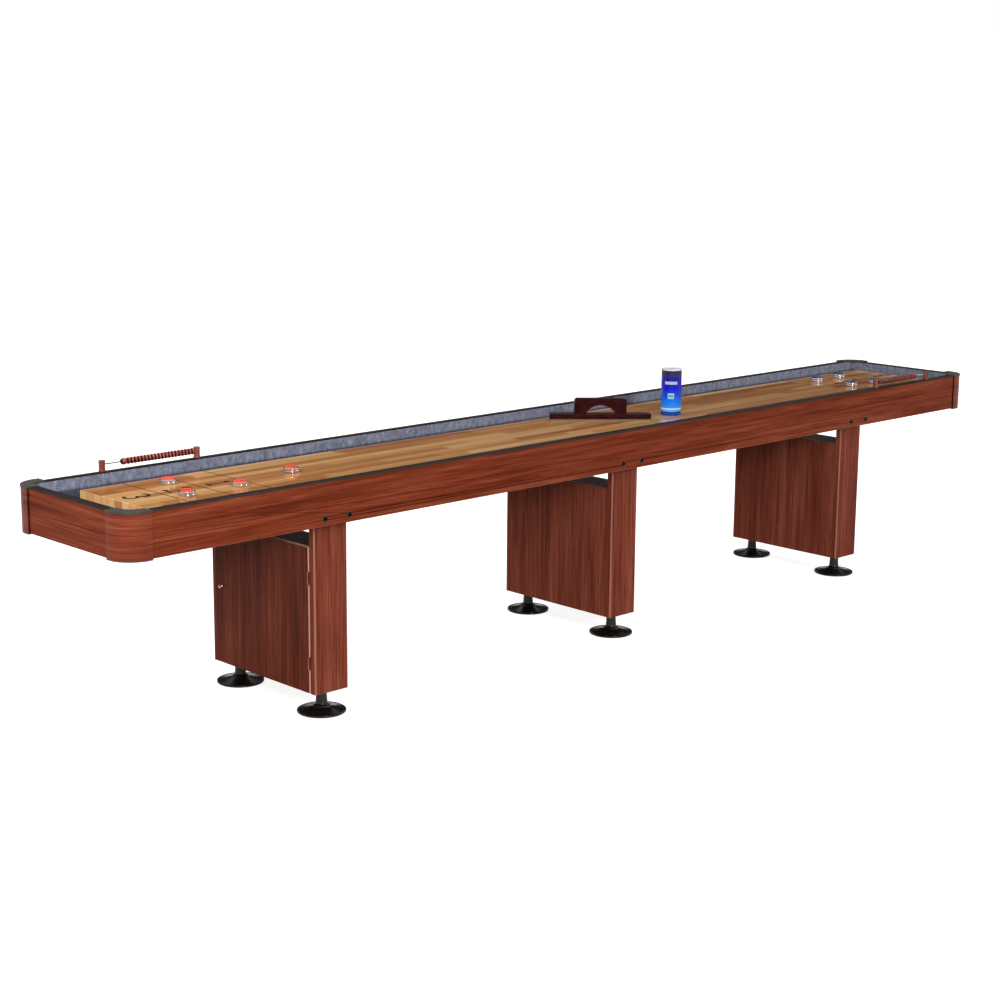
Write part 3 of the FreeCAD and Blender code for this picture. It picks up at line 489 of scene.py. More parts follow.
chrome = metal("puck_steel", rgb(244, 244, 248), rgb(222, 222, 228), 0.08, 0.16)
zinc = metal("zinc_steel", rgb(190, 192, 190), rgb(150, 150, 146), 0.28, 0.45)
bronze = metal("hinge_bronze", rgb(176, 124, 104), rgb(132, 88, 72), 0.26, 0.42)
rod_metal = metal("rod_steel", rgb(196, 196, 198), rgb(160, 160, 162), 0.2, 0.3)
black_metal = metal("black_steel", rgb(34, 33, 34), rgb(22, 21, 22), 0.32, 0.5)
dull_metal = metal("washer_steel", rgb(112, 100, 78), rgb(84, 74, 60), 0.35, 0.5)
copper = metal("knob_metal", rgb(224, 160, 140), rgb(186, 118, 98), 0.14, 0.28)
# The beads carry painted shade on their flanks, between the beads.
bead_wood = turned_wood("scorer_wood", BEAD_TONES, LENGTHWAYS, 0.24, 0.36, 0.5, neck_shade=rgb(34, 12, 10))
post_wood = turned_wood("scorer_post_wood", POST_TONES, UPRIGHT, 0.24, 0.36, 0.4)
mahogany = turned_wood("brush_wood", MAHOGANY_TONES, LENGTHWAYS, 0.3, 0.4, 0.1)
pine = turned_wood("pine", PINE_TONES, CROSSWAYS, 0.6, 0.8, 0.0)
chipboard = floor_board()
tin_print = can_print()
score_ink = printed_black()
hair = bristle_hair()


# ---------------- shapes
def soften(corners, steps=5):
    """An open profile through (u, v) corners; a corner with a third number is rounded by about it."""
    points = []
    for number, corner in enumerate(corners):
        here = Vector(corner[:2])
        if len(corner) < 3 or number in (0, len(corners) - 1):
            points.append(here)
            continue
        before = Vector(corners[number - 1][:2]) - here
        after = Vector(corners[number + 1][:2]) - here
        reach = min(corner[2], before.length * 0.49, after.length * 0.49)
        start = here + before.normalized() * reach
        end = here + after.normalized() * reach
        for step in range(steps + 1):
            part = step / steps
            points.append(start * (1 - part) ** 2 + here * 2 * part * (1 - part) + end * part ** 2)
    return points


def arc(centre, radius, start, end, steps):
    """Points on an arc between two angles in degrees."""
    across, up = centre
    angles = [math.radians(start + (end - start) * step / steps) for step in range(steps + 1)]
    return [Vector((across + radius * math.cos(angle), up + radius * math.sin(angle)))
            for angle in angles]


def spot(point, towards=(0, 0, 1), turn=0.0):
    """Where a shape drawn in millimetres about +Z goes: a point in metres and its own direction."""
    aim = Vector((0, 0, 1)).rotation_difference(Vector(towards)).to_matrix().to_4x4()
    spin = Matrix.Rotation(math.radians(turn), 4, "Z")
    return Matrix.Translation(Vector(point)) @ aim @ spin @ Matrix.Scale(MM, 4)


class Shape:
    """A mesh that grows by solids of revolution, prisms and boxes, all drawn in millimetres."""

    def __init__(self):
        self.mesh = bmesh.new()

    def point(self, place, reach, angle, height):
        """A new point at a distance and an angle about Z."""
        offset = Vector((reach * math.cos(angle), reach * math.sin(angle), height))
        return self.mesh.verts.new(place @ offset)

    def join(self, low, high, steps):
        """Faces between two rings of points, either of which may be one point only."""
        faces = []
        for step in range(steps):
            after = (step + 1) % steps
            corners = dict.fromkeys((low[step % len(low)], low[after % len(low)],
                                     high[after % len(high)], high[step % len(high)]))
            if len(corners) > 2:
                faces.append(self.mesh.faces.new(list(corners)))
        return faces

    def turned(self, place, profile, steps=48, ring=False):
        """Turn (radius, height) points about Z. A third number gives that ring so many flat sides."""
        circles = []
        for radius, height, *sides in profile:
            if radius == 0:
                circles.append([self.point(place, 0, 0, height)])
                continue
            circle = []
            for step in range(steps):
                angle = FULL_TURN * step / steps
                reach = radius
                if any(sides):
                    flat = FULL_TURN / sides[0]
                    reach = radius / math.cos(angle % flat - flat / 2)
                circle.append(self.point(place, reach, angle, height))
            circles.append(circle)
        pairs = list(zip(circles, circles[1:]))
        if ring:
            pairs.append((circles[-1], circles[0]))
        for low, high in pairs:
            self.join(low, high, steps)
        return self

    def prism(self, place, outline, low, high, rounding=0.0, segments=2):
        """Raise an outline from low to high, with its sharp edges rounded."""
        bottom = [self.mesh.verts.new(place @ Vector((u, v, low))) for u, v in outline]
        top = [self.mesh.verts.new(place @ Vector((u, v, high))) for u, v in outline]
        faces = [self.mesh.faces.new(bottom[::-1]), self.mesh.faces.new(top)]
        faces += self.join(bottom, top, len(outline))
        if rounding:
            edges = {edge for face in faces for edge in face.edges}
            sharp = [edge for edge in edges if edge.calc_face_angle(0) > SMOOTH_ANGLE]
            bmesh.ops.bevel(self.mesh, geom=sharp, offset=rounding * MM, segments=segments,
                            affect="EDGES", profile=0.5, clamp_overlap=True)
        return self

    def box(self, place, low, high, rounding=0.0, segments=2):
        outline = [(low[0], low[1]), (high[0], low[1]), (high[0], high[1]), (low[0], high[1])]
        return self.prism(place, outline, low[2], high[2], rounding, segments)

    def thread(self, place, radius, depth, pitch, low, high, steps=24, per_turn=6):
        """A screw thread: a rod whose radius follows a helix."""
        count = max(2, int((high - low) / pitch * per_turn))
        rings = []
        for number in range(count + 1):
            height = low + (high - low) * number / count
            ring = []
            for step in range(steps):
                phase = (height / pitch - step / steps) % 1
                reach = radius - depth * abs(2 * phase - 1)
                ring.append(self.point(place, reach, FULL_TURN * step / steps, height))
            rings.append(ring)
        for lower, upper in zip(rings, rings[1:]):
            self.join(lower, upper, steps)
        self.mesh.faces.new(rings[0][::-1])
        self.mesh.faces.new(rings[-1])
        return self

    def made(self, name, material):
        """The finished mesh as a piece of one material."""
        data = bpy.data.meshes.new(name)
        self.mesh.to_mesh(data)
        self.mesh.free()
        data.materials.append(material)
        piece = bpy.data.objects.new(name, data)
        bpy.context.scene.collection.objects.link(piece)
        return piece

    def finish(self, name, body, material, slot, replaces=()):
        """Make the piece, smooth but for its sharp edges, and let it ride on its body."""
        bmesh.ops.recalc_face_normals(self.mesh, faces=self.mesh.faces)
        for face in self.mesh.faces:
            face.smooth = True
        for edge in self.mesh.edges:
            edge.smooth = edge.calc_face_angle(0) < SMOOTH_ANGLE
        piece = self.made(name, material)
        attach(piece, body)
        if replaces:
            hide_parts(*replaces)


def middle_of(node):
    """The middle of a node's box."""
    low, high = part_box(node)
    return (low + high) / 2


def foot_of(node):
    """The middle of a node's underside."""
    low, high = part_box(node)
    return Vector(((low.x + high.x) / 2, (low.y + high.y) / 2, low.z))


def size_of(node):
    """A node's size in millimetres."""
    low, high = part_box(node)
    return (high - low) / MM


# ---------------- CAD nodes that stay
WELD_REACH = 0.01


def ease(piece, width):
    """Soften a CAD piece's sharp edges by a width in millimetres, with modifiers only."""
    weld = piece.modifiers.new("weld", "WELD")
    weld.merge_threshold = WELD_REACH * MM
    bevel = piece.modifiers.new("eased_edges", "BEVEL")
    bevel.width = width * MM
    bevel.segments = 2
    bevel.limit_method = "ANGLE"
    bevel.angle_limit = SMOOTH_ANGLE
    bevel.use_clamp_overlap = True
    normals = piece.modifiers.new("even_shading", "WEIGHTED_NORMAL")
    normals.mode = "FACE_AREA"


LEG_FACES = [f"leg_{leg}_{where}_panel" for leg in LEGS for where in ("front", "back")]
HINGES = [f"{name}_hinge_{part}_halves" for name in ("left", "right") for part in ("frame", "door")]
# The looks of these nodes: a material, how wide their edges are eased in millimetres, and the nodes.
CAD_LOOKS = [
    (rail_cherry, 1.4, ["side_rail_front", "side_rail_back", "end_rail_left", "end_rail_right"]),
    (pile, 0.6, ["gutter_lining_front", "gutter_lining_back", "gutter_lining_ends", "gutter_carpet"]),
    (chipboard, 0.5, ["cabinet_floor", "leg_base_panels"]),
    (zinc, 0.4, ["corner_brackets"]),
    (zinc, 0.3, ["leveler_t_nuts"]),
    (maple, 0.8, ["playfield"]),
    (pine, 1.0, ["playfield_supports"]),
    (leg_cherry, 0.8, LEG_FACES),
    (box_cherry, 0.7, ["leg_side_panels"]),
    (shaded_top_laminate, 0.7, ["leg_top_panels"]),
    (door_cherry, 0.8, ["left_door", "right_door"]),
    (bronze, 0.15, HINGES),
    (rod_metal, 0, ["scorer_rods"]),
    (mahogany, 0, ["brush_block"]),
]


def dress_cad_nodes():
    """Give each CAD node that stays its material, and ease its edges."""
    for material, width, nodes in CAD_LOOKS:
        for node in nodes:
            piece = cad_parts[node]
            for holder in piece.material_slots:
                holder.material = material
            if width:
                ease(piece, width)


# ---------------- corners
POST_RADIUS = 83
POST_REACH = 96
POST_WIDTH = 38.5
POST_EDGE = 1.0
POST_ROUNDING = 0.8
CAP_ROUNDING = 2.0
CAP_REACH = 100
CAP_WIDTH = 44
CORNER_STEPS = 24


def corner_outline(radius, reach, width, inner_radius=0):
    """An L seen from above, its round outer corner at the origin's side."""
    points = arc((radius, radius), radius, 180, 270, CORNER_STEPS)
    points += [Vector((reach, 0)), Vector((reach, width))]
    if inner_radius:
        centre = width + inner_radius
        points += arc((centre, centre), inner_radius, 270, 180, CORNER_STEPS // 2)
    else:
        points.append(Vector((width, width)))
    return points + [Vector((width, reach)), Vector((0, reach))]


def corner_spots(low, high, z):
    """The four outer corners of a box, each turned so that an L drawn from it points inwards."""
    corners = ((low.x, low.y, 0), (high.x, low.y, 90), (high.x, high.y, 180), (low.x, high.y, 270))
    return [spot((x, y, z), turn=turn) for x, y, turn in corners]


def make_corners():
    """Corner posts with black strips down the ends of their arms, partly black trim and partly painted
    shadow of the groove at the rail, and caps over and under them.
    """
    low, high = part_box("corner_posts")
    height = (high.z - low.z) / MM
    inside = POST_WIDTH - POST_EDGE
    end = POST_REACH + POST_EDGE / 2
    posts = Shape()
    strips = Shape()
    for place in corner_spots(low, high, low.z):
        posts.prism(place, corner_outline(POST_RADIUS, POST_REACH, POST_WIDTH), 0, height,
                    POST_ROUNDING)
        # Black strips at the arm ends: partly black trim, partly painted shadow in the gap between post
        # and rail.
        strips.box(place, (POST_REACH - POST_EDGE, POST_EDGE * 2, POST_EDGE), (end, inside, height), 0.2)
        strips.box(place, (POST_EDGE * 2, POST_REACH - POST_EDGE, POST_EDGE), (inside, end, height), 0.2)
    posts.finish("corner_post_shells", "cabinet", post_cherry, "post_laminate", ["corner_posts"])
    strips.finish("corner_post_shadow_strips", "cabinet", groove_shadow_black, "cap_plastic")

    cap_low, cap_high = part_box("corner_caps")
    radius = POST_RADIUS + (cap_high.x - high.x) / MM
    caps = Shape()
    for place in corner_spots(cap_low, cap_high, high.z):
        outline = corner_outline(radius, CAP_REACH, CAP_WIDTH, radius - CAP_WIDTH)
        caps.prism(place, outline, 0, (cap_high.z - high.z) / MM, CAP_ROUNDING, 4)
    for place in corner_spots(low, high, cap_low.z):
        outline = corner_outline(POST_RADIUS, POST_REACH, POST_WIDTH)
        caps.prism(place, outline, 0, (low.z - cap_low.z) / MM, 0.7)
    caps.finish("corner_cap_mouldings", "cabinet", cap_plastic, "cap_plastic", ["corner_caps"])


# ---------------- strips on the rails
STRIP_WIDTH = 37
SHOULDER_WIDTH = 12
SHOULDER_LIP = 0.4


def make_rim_strips():
    """Strips between the caps: a flat black band, and a greyer shoulder that slopes to the outside."""
    low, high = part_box("rim_strips")
    thick = (high.z - low.z) / MM
    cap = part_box("corner_caps")[1] / MM
    # Seen from the end of a rail: outwards, up and along it.
    section = Matrix(((0, -1, 0), (0, 0, 1), (-1, 0, 0))).transposed().to_4x4()
    bands = Shape()
    shoulders = Shape()
    for turn in (0, 90, 180, 270):
        along_x = turn in (0, 180)
        outer = (high.y if along_x else high.x) / MM
        half = (cap.x if along_x else cap.y) - CAP_REACH
        bend = outer - SHOULDER_WIDTH
        place = Matrix.Translation((0, 0, low.z)) @ Matrix.Rotation(math.radians(turn), 4, "Z") @ section
        place = place @ Matrix.Scale(MM, 4)
        band = [(outer - STRIP_WIDTH, 0), (bend, 0), (bend, thick), (outer - STRIP_WIDTH, thick)]
        bands.prism(place, band, -half, half, 0.3)
        shoulder = [(bend, 0), (outer, 0), (outer, SHOULDER_LIP), (bend, thick)]
        shoulders.prism(place, shoulder, -half, half)
    bands.finish("rim_strip_bands", "cabinet", rim_plastic, "rim_strip", ["rim_strips"])
    shoulders.finish("rim_strip_shoulders", "cabinet", shoulder_plastic, "rim_strip")


# ---------------- score lines and numbers
LINE_WIDTH = 4.4
LINE_MARGIN = 1.6
LINE_PITCH = 152.4
FIRST_ZONE = 153
PRINT_RISE = 0.06
DIGIT_HEIGHT = 82
DIGIT_WIDTH = 50
STROKE = 11


def stroke(shape, place, points, width):
    """A flat printed line of even width through points."""
    left = []
    right = []
    for number, point in enumerate(points):
        before = points[max(number - 1, 0)]
        after = points[min(number + 1, len(points) - 1)]
        along_line = (after - before).normalized()
        side = Vector((-along_line.y, along_line.x)) * width / 2
        left.append(point + side)
        right.append(point - side)
    shape.prism(place, left + right[::-1], 0, PRINT_RISE)


def digit_strokes(digit):
    """The strokes of 1, 2 or 3, drawn about their middle with the top at +V."""
    half = DIGIT_HEIGHT / 2
    bowl = DIGIT_HEIGHT / 4
    wide = DIGIT_WIDTH / 2
    if digit == 1:
        return [[Vector((-wide * 0.45, half * 0.62)), Vector((0, half))],
                [Vector((0, half + STROKE * 0.4)), Vector((0, -half))],
                [Vector((-wide * 0.6, -half)), Vector((wide * 0.6, -half))]]
    if digit == 2:
        top = arc((0, half - bowl), bowl, 165, -38, 20)
        return [top + [Vector((-wide * 0.9, -half))], [Vector((-wide, -half)), Vector((wide, -half))]]
    return [arc((0, bowl), bowl, 150, -90, 20), arc((0, -bowl), bowl, 90, -150, 20)]


def make_score_print():
    """Three lines across each end of the playfield, and a number in each zone."""
    low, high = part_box("playfield")
    half_line = (high.y - low.y) / 2 / MM - LINE_MARGIN
    for end, name, board_end in ((-1, "left", low.x), (1, "right", high.x)):
        lines = Shape()
        for number in range(3):
            x = board_end - end * (FIRST_ZONE + LINE_PITCH * number) * MM
            lines.box(spot((x, 0, high.z)), (-LINE_WIDTH / 2, -half_line, 0),
                      (LINE_WIDTH / 2, half_line, PRINT_RISE))
        lines.finish(f"{name}_score_lines", "cabinet", score_ink, "score_print")
        for number, digit in enumerate((3, 2, 1)):
            x = board_end - end * (FIRST_ZONE / 2 + LINE_PITCH * number) * MM
            marks = Shape()
            place = spot((x, 0, high.z), turn=90 * end)
            for points in digit_strokes(digit):
                stroke(marks, place, points, STROKE)
            marks.finish(f"{name}_number_{digit}", "cabinet", score_ink, "score_print")


# ---------------- bolts
def socket_bolt(shape, place, radius, height):
    """A domed head with a hexagon socket; it sits on the plane and rises along Z."""
    socket = radius * 0.42
    dome = soften([(radius, 0), (radius, height * 0.45, height * 0.4),
                   (radius * 0.55, height, height * 0.5), (socket * 1.2, height)])
    shape.turned(place, [*dome, (socket, height, 6), (socket, height * 0.35, 6), (0, height * 0.3)], 36)


def hex_nut(shape, place, across, bore, height):
    """A nut with chamfered corners, from across its flats."""
    flat = across / 2
    corner = flat * 1.04
    shape.turned(place, [(bore, 0), (corner, 0), (flat, height * 0.12, 6), (flat, height * 0.88, 6),
                         (corner * 0.99, height), (bore, height)], 36, ring=True)


BOLT_OFFSET = 49
BOLT_HEAD_RADIUS = 8.5
BOLT_RADIUS = 4
BOLT_LENGTH = 70
# Depth and pitch.
BOLT_THREAD = (0.45, 1.25)
# Across the flats, bore and height.
NUT_SIZE = (12.9, 3.4, 6.4)
NUT_WASHER_THICKNESS = 2
RAIL_WASHER = [(6, 0), (10.2, 0), (10.2, 0.8), (9.4, 1.5), (6, 1.5)]
NUT_WASHER = [(4.1, 0), (10, 0), (10, 1.7), (9.7, NUT_WASHER_THICKNESS), (4.1, NUT_WASHER_THICKNESS)]


def make_bolts():
    """Bolts, washers and nuts at each leg, at the places of the CAD group's own solids."""
    low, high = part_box("leg_bolts")
    rail_face = -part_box("side_rail_front")[0].y
    panel_face = -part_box("leg_left_front_panel")[1].y
    head_height = -(rail_face + low.y) / MM
    through = (rail_face - panel_face) / MM
    z = (low.z + high.z) / 2
    heads = Shape()
    rings = Shape()
    nuts = Shape()
    for leg in LEGS:
        leg_x = middle_of(f"leg_{leg}_front_panel").x
        for offset in (-BOLT_OFFSET, BOLT_OFFSET):
            for side in (-1, 1):
                x = leg_x + offset * MM
                outside = spot((x, rail_face * side, z), (0, side, 0), 15)
                socket_bolt(heads, outside, BOLT_HEAD_RADIUS, head_height)
                rings.turned(outside, RAIL_WASHER, 40, ring=True)
                inside = spot((x, panel_face * side, z), (0, -side, 0))
                nuts.turned(inside, NUT_WASHER, 36, ring=True)
                on_washer = panel_face * side - NUT_WASHER_THICKNESS * MM * side
                hex_nut(nuts, spot((x, on_washer, z), (0, -side, 0), 10), *NUT_SIZE)
                nuts.thread(inside, BOLT_RADIUS, *BOLT_THREAD, 0, BOLT_LENGTH - through)
    heads.finish("leg_bolt_heads", "cabinet", black_metal, "black_steel", ["leg_bolts"])
    rings.finish("leg_bolt_washers", "cabinet", dull_metal, "black_steel")
    nuts.finish("leg_bolt_nuts", "cabinet", zinc, "zinc_steel")


# ---------------- doors
def make_door_fittings():
    """A turned knob on each door, drawn from the door's face outwards."""
    for name, side in (("left", 1), ("right", -1)):
        low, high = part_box(f"{name}_door_knob")
        centre = (low + high) / 2
        base = high.x if side > 0 else low.x
        reach = (high.x - low.x) / MM
        profile = soften([(5.2, 0), (5.2, 1.5, 0.9), (3.4, 4.6, 1.6), (3.4, 6.4, 1.4), (7.0, 8.2, 1.6),
                          (7.0, 10.4, 1.9), (3.6, reach, 2.0), (0, reach)], 6)
        place = spot((base, centre.y, centre.z), (-side, 0, 0))
        knob = Shape().turned(place, [(0, 0), *profile], 64)
        knob.finish(f"{name}_knob_turned", f"{name}_door", copper, "knob_metal", [f"{name}_door_knob"])


CATCH_DEPTH = 14
CATCH_SETBACK = 0.8
POLE_PLACES = (-4.5, -9.5)
POLE_HALF = 0.9
POLE_SHARE = 0.6


def make_catches():
    """Magnetic catches: a plastic case, and two pole plates that stand out at its face."""
    low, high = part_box("door_catches")
    half = (high.z - low.z) / 2 / MM
    z = middle_of("door_catches").z
    tall = half * POLE_SHARE
    deep = CATCH_DEPTH * POLE_SHARE
    case = Shape()
    plates = Shape()
    for face, wall, turn in ((low.x, high.y, 0), (high.x, low.y, 180)):
        place = spot((face, wall, z), turn=turn)
        case.box(place, (CATCH_SETBACK, -CATCH_DEPTH, -half), (CATCH_DEPTH, 0, half), 1.2, 3)
        for pole in POLE_PLACES:
            plates.box(place, (0, pole - POLE_HALF, -tall), (deep, pole + POLE_HALF, tall), 0.2)
    case.finish("catch_cases", "cabinet", catch_plastic, "catch_plastic", ["door_catches"])
    plates.finish("catch_pole_plates", "cabinet", zinc, "zinc_steel")


# ---------------- levelers
# Radius, depth and pitch.
STUD_THREAD = (5.0, 0.5, 1.5)
STUD_START = 0.5


def make_levelers():
    """Levelers: a round foot with a lipped edge and a neck up to the leg, and a threaded stud."""
    for leg in LEGS:
        for where in ("front", "back"):
            node = f"leveler_{leg}_{where}"
            place = spot(foot_of(node))
            radius = size_of(node).x / 2
            neck_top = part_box(f"leg_{leg}_{where}_panel")[0].z / MM
            crown = soften([(0, 0), (radius - 9, 0, 1), (radius - 8, 1, 0.5), (radius - 2.5, 1, 1.5),
                            (radius, 3, 1.5), (radius, 8, 1.0), (radius - 1.4, 9.3, 0.8),
                            (radius - 4, 8.4, 1.5), (radius * 0.62, 13.2, 14),
                            (radius * 0.36, 19.5, 8), (25.5, 24.6, 1.5),
                            (22, 26.2, 1.5), (19.4, 29.5, 3), (18.8, 34, 4), (15.9, neck_top - 1.2, 1),
                            (15.6, neck_top, 0.5), (0, neck_top)], 6)
            foot = Shape().turned(place, crown, 96)
            foot.finish(f"{node}_foot", node, foot_plastic, "foot_plastic", [node])
            stud = Shape().thread(place, *STUD_THREAD, neck_top - STUD_START, size_of(node).z)
            stud.finish(f"{node}_stud", node, zinc, "zinc_steel")


# ---------------- scorers
BEADS = 20
BEAD_PLAY = 0.35
BEAD_NECK = 5.2
BEAD_EDGE = 0.4
COLLAR_SHARE = 0.05
BELLY_STEPS = 6
ROD_BORE = 2.1
SCORER_POST_RADIUS = 11
SCORER_SPAN = 360
WAIST = 0.8
DIMPLE_DEPTH = 1.6


def bead_profile(length, radius):
    """One turned bead: a round belly between two narrow collars."""
    collar = length * COLLAR_SHARE
    half = length / 2 - collar
    shy = BEAD_NECK - 0.5
    points = [(ROD_BORE, 0), (shy, 0), (BEAD_NECK, BEAD_EDGE), (BEAD_NECK, collar)]
    for step in range(1, 2 * BELLY_STEPS):
        part = -1 + step / BELLY_STEPS
        rise = (radius - BEAD_NECK) * math.sqrt(1 - part * part)
        points.append((BEAD_NECK + rise, length / 2 + half * part))
    return points + [(BEAD_NECK, length - collar), (BEAD_NECK, length - BEAD_EDGE),
                     (shy, length), (ROD_BORE, length)]


def make_beads(name):
    """A scorer's row of beads, and the lead bead that slides ahead of it."""
    node = f"{name}_scorer_beads"
    low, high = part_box(node)
    centre = (low + high) / 2
    radius = (high.z - low.z) / 2 / MM
    pitch = ((high.x - low.x) / MM + BEAD_PLAY) / BEADS
    beads = Shape()
    for number in range(BEADS):
        place = spot((low.x + pitch * number * MM, centre.y, centre.z), (1, 0, 0))
        beads.turned(place, bead_profile(pitch - BEAD_PLAY, radius), 40, ring=True)
    beads.finish(f"{name}_beads_turned", node, bead_wood, "scorer_wood", [node])

    node = f"{name}_scorer_lead_bead"
    lead_low, lead_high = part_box(node)
    place = spot((lead_low.x, centre.y, centre.z), (1, 0, 0))
    lead = Shape().turned(place, bead_profile((lead_high.x - lead_low.x) / MM, radius), 48, ring=True)
    lead.finish(f"{name}_lead_bead_turned", node, bead_wood, "scorer_wood", [node])


def make_scorers():
    """Both scorers' beads, and the posts that hold their rods."""
    for name in ("left", "right"):
        make_beads(name)
    posts = Shape()
    rim_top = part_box("rim_strips")[1].z
    height = (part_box("scorer_posts")[1].z - rim_top) / MM
    radius = SCORER_POST_RADIUS
    slim = radius - WAIST
    profile = soften([(0, 0), (radius, 0, 0.8), (radius, 4, 0.8), (slim, 5.2, 0.8),
                      (slim, height - 6, 0.8), (radius, height - 4.6, 0.8), (radius, height, 2.4),
                      (radius * 0.45, height, 0.6), (radius * 0.38, height - DIMPLE_DEPTH, 0.5),
                      (0, height - DIMPLE_DEPTH)], 4)
    for name, sign in (("left", 1), ("right", -1)):
        low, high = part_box(f"{name}_scorer_beads")
        inner = high.x if sign > 0 else low.x
        first = inner + (radius + BEAD_PLAY) * MM * sign
        for x in (first, first - SCORER_SPAN * MM * sign):
            posts.turned(spot((x, (low.y + high.y) / 2, rim_top)), profile, 48)
    posts.finish("scorer_posts_turned", "cabinet", post_wood, "scorer_wood", ["scorer_posts"])


# ---------------- game set
PUCK_CLEARANCE = 0.12
PUCK_SEAT = 14.0
KNURLS = 18
KNURLED_FROM = 25.9


def make_pucks():
    """Weights with a chrome body and a coloured cap let into the top."""
    body = soften([(0, 0), (23.2, 0, 0.5), (26.4, 1.0, 1.6), (26.4, 5.6, 2.2), (24.0, 7.5, 1.8),
                   (26.4, 9.4, 2.2), (26.4, 13.6, 1.6), (24.4, 14.8, 0.8), (22.1, 14.8, 0.3),
                   (21.6, PUCK_SEAT, 0.3), (0, PUCK_SEAT)], 5)
    body = [(u, v, KNURLS if u > KNURLED_FROM else 0) for u, v in body]
    cap = soften([(0, PUCK_SEAT), (21.4, PUCK_SEAT), (21.9, 14.9, 0.4), (21.9, 17.6, 1.4),
                  (20.2, 19.3, 1.2), (15.4, 19.3, 0.6), (14.4, 18.3, 0.6), (12.6, 18.3, 0.4),
                  (11.8, 18.7, 0.4), (0, 18.7)], 4)
    for colour, plastic in (("red", red_plastic), ("blue", blue_plastic)):
        for number in range(1, 5):
            node = f"{colour}_puck_{number}"
            place = spot(foot_of(node) + Vector((0, 0, PUCK_CLEARANCE * MM)))
            weight = Shape().turned(place, body, KNURLS * 6)
            weight.finish(f"{node}_weight", node, chrome, "puck_steel", [node])
            top = Shape().turned(place, cap, 72)
            top.finish(f"{node}_cap", node, plastic, f"{colour}_cap")


BRUSH_TURN = -41
ARCH_HALF_WIDTH = 56
ARCH_RISE = 32
HANDLE_LENGTH = 196
HANDLE_THICKNESS = 28
HANDLE_CORNER = 10
TUFT_FIELD = (369, 36)
TUFT_ROWS = 8
TUFT_COLUMNS = 76
TUFT_SPREAD = (2.0, 2.35)
TUFT_ROOT = 1.5


def make_handle():
    """The brush's handle: a block with an arch cut through it for the fingers."""
    height = size_of("brush_handle").z
    half = HANDLE_LENGTH / 2
    radius = (ARCH_HALF_WIDTH ** 2 + ARCH_RISE ** 2) / (2 * ARCH_RISE)
    sweep = math.degrees(math.asin(ARCH_HALF_WIDTH / radius))
    outline = [Vector((-half, 0))] + arc((0, ARCH_RISE - radius), radius, 90 + sweep, 90 - sweep, 24)
    outline.append(Vector((half, 0)))
    for side, start in ((1, 0), (-1, 90)):
        centre = ((half - HANDLE_CORNER) * side, height - HANDLE_CORNER)
        outline += arc(centre, HANDLE_CORNER, start, start + 90, 8)
    place = spot(foot_of("brush_handle"), turn=BRUSH_TURN) @ Matrix.Rotation(math.radians(90), 4, "X")
    handle = Shape().prism(place, outline, -HANDLE_THICKNESS / 2, HANDLE_THICKNESS / 2, 4.0, 4)
    handle.finish("brush_grip", "brush", mahogany, "brush_wood", ["brush_handle"])


def make_tufts():
    """Rows of bristle tufts that spread towards the playfield, each a little differently."""
    tall = size_of("brush_bristles").z
    base = spot(foot_of("brush_bristles"), turn=BRUSH_TURN)
    length, width = TUFT_FIELD
    tufts = Shape()
    for row in range(TUFT_ROWS):
        for column in range(TUFT_COLUMNS):
            u = (column + 0.5) / TUFT_COLUMNS * length - length / 2
            v = (row + 0.5) / TUFT_ROWS * width - width / 2
            spread = random.uniform(*TUFT_SPREAD)
            tufts.turned(base @ Matrix.Translation((u, v, 0)),
                         [(0, 0.4), (spread * 0.7, random.uniform(0.1, 0.5)), (spread, 0.9),
                          (TUFT_ROOT, tall), (0, tall)], 7)
    tufts.finish("brush_tufts", "brush", hair, "bristle", ["brush_bristles"])


def make_can():
    """The can with its seams, and its lid with a sunk middle."""
    radius = size_of("wax_can").x / 2
    height = size_of("wax_can").z
    edge = radius - 0.05
    wall = radius - 1.3
    shell = soften([(0, 1.6), (radius - 4, 1.6, 0.6), (radius - 3, 0.1, 0.6), (radius - 0.6, 0.1, 0.5),
                    (edge, 0.9, 0.5), (edge, 3.0, 0.6), (wall, 4.2, 0.6), (wall, height - 1.2, 0.5),
                    (radius - 1.6, height, 0.4), (0, height)], 4)
    can = Shape().turned(spot(foot_of("wax_can")), shell, 96)
    can.finish("can_shell", "wax_can", tin_print, "can_print", ["wax_can"])
    tall = size_of("wax_can_lid").z
    skirt = radius - 0.7
    cover = soften([(0, 0), (radius - 0.4, 0, 0.3), (edge, 0.8, 0.4), (edge, 2.0, 0.4), (skirt, 2.6, 0.4),
                    (skirt, tall - 1.8, 1.2), (radius - 2.4, tall, 1.2), (radius - 5.6, tall, 1.0),
                    (radius - 6.6, tall - 2.8, 0.8), (0, tall - 2.8)], 5)
    lid = Shape().turned(spot(foot_of("wax_can_lid")), cover, 96)
    lid.finish("can_lid_moulding", "wax_can_lid", lid_plastic, "can_lid_plastic", ["wax_can_lid"])


# ---------------- stage, light and camera
FLOOR_RADIUS = 60000
FLOOR_GLOW = 0.75
FLOOR_BOUNCE = 0.22


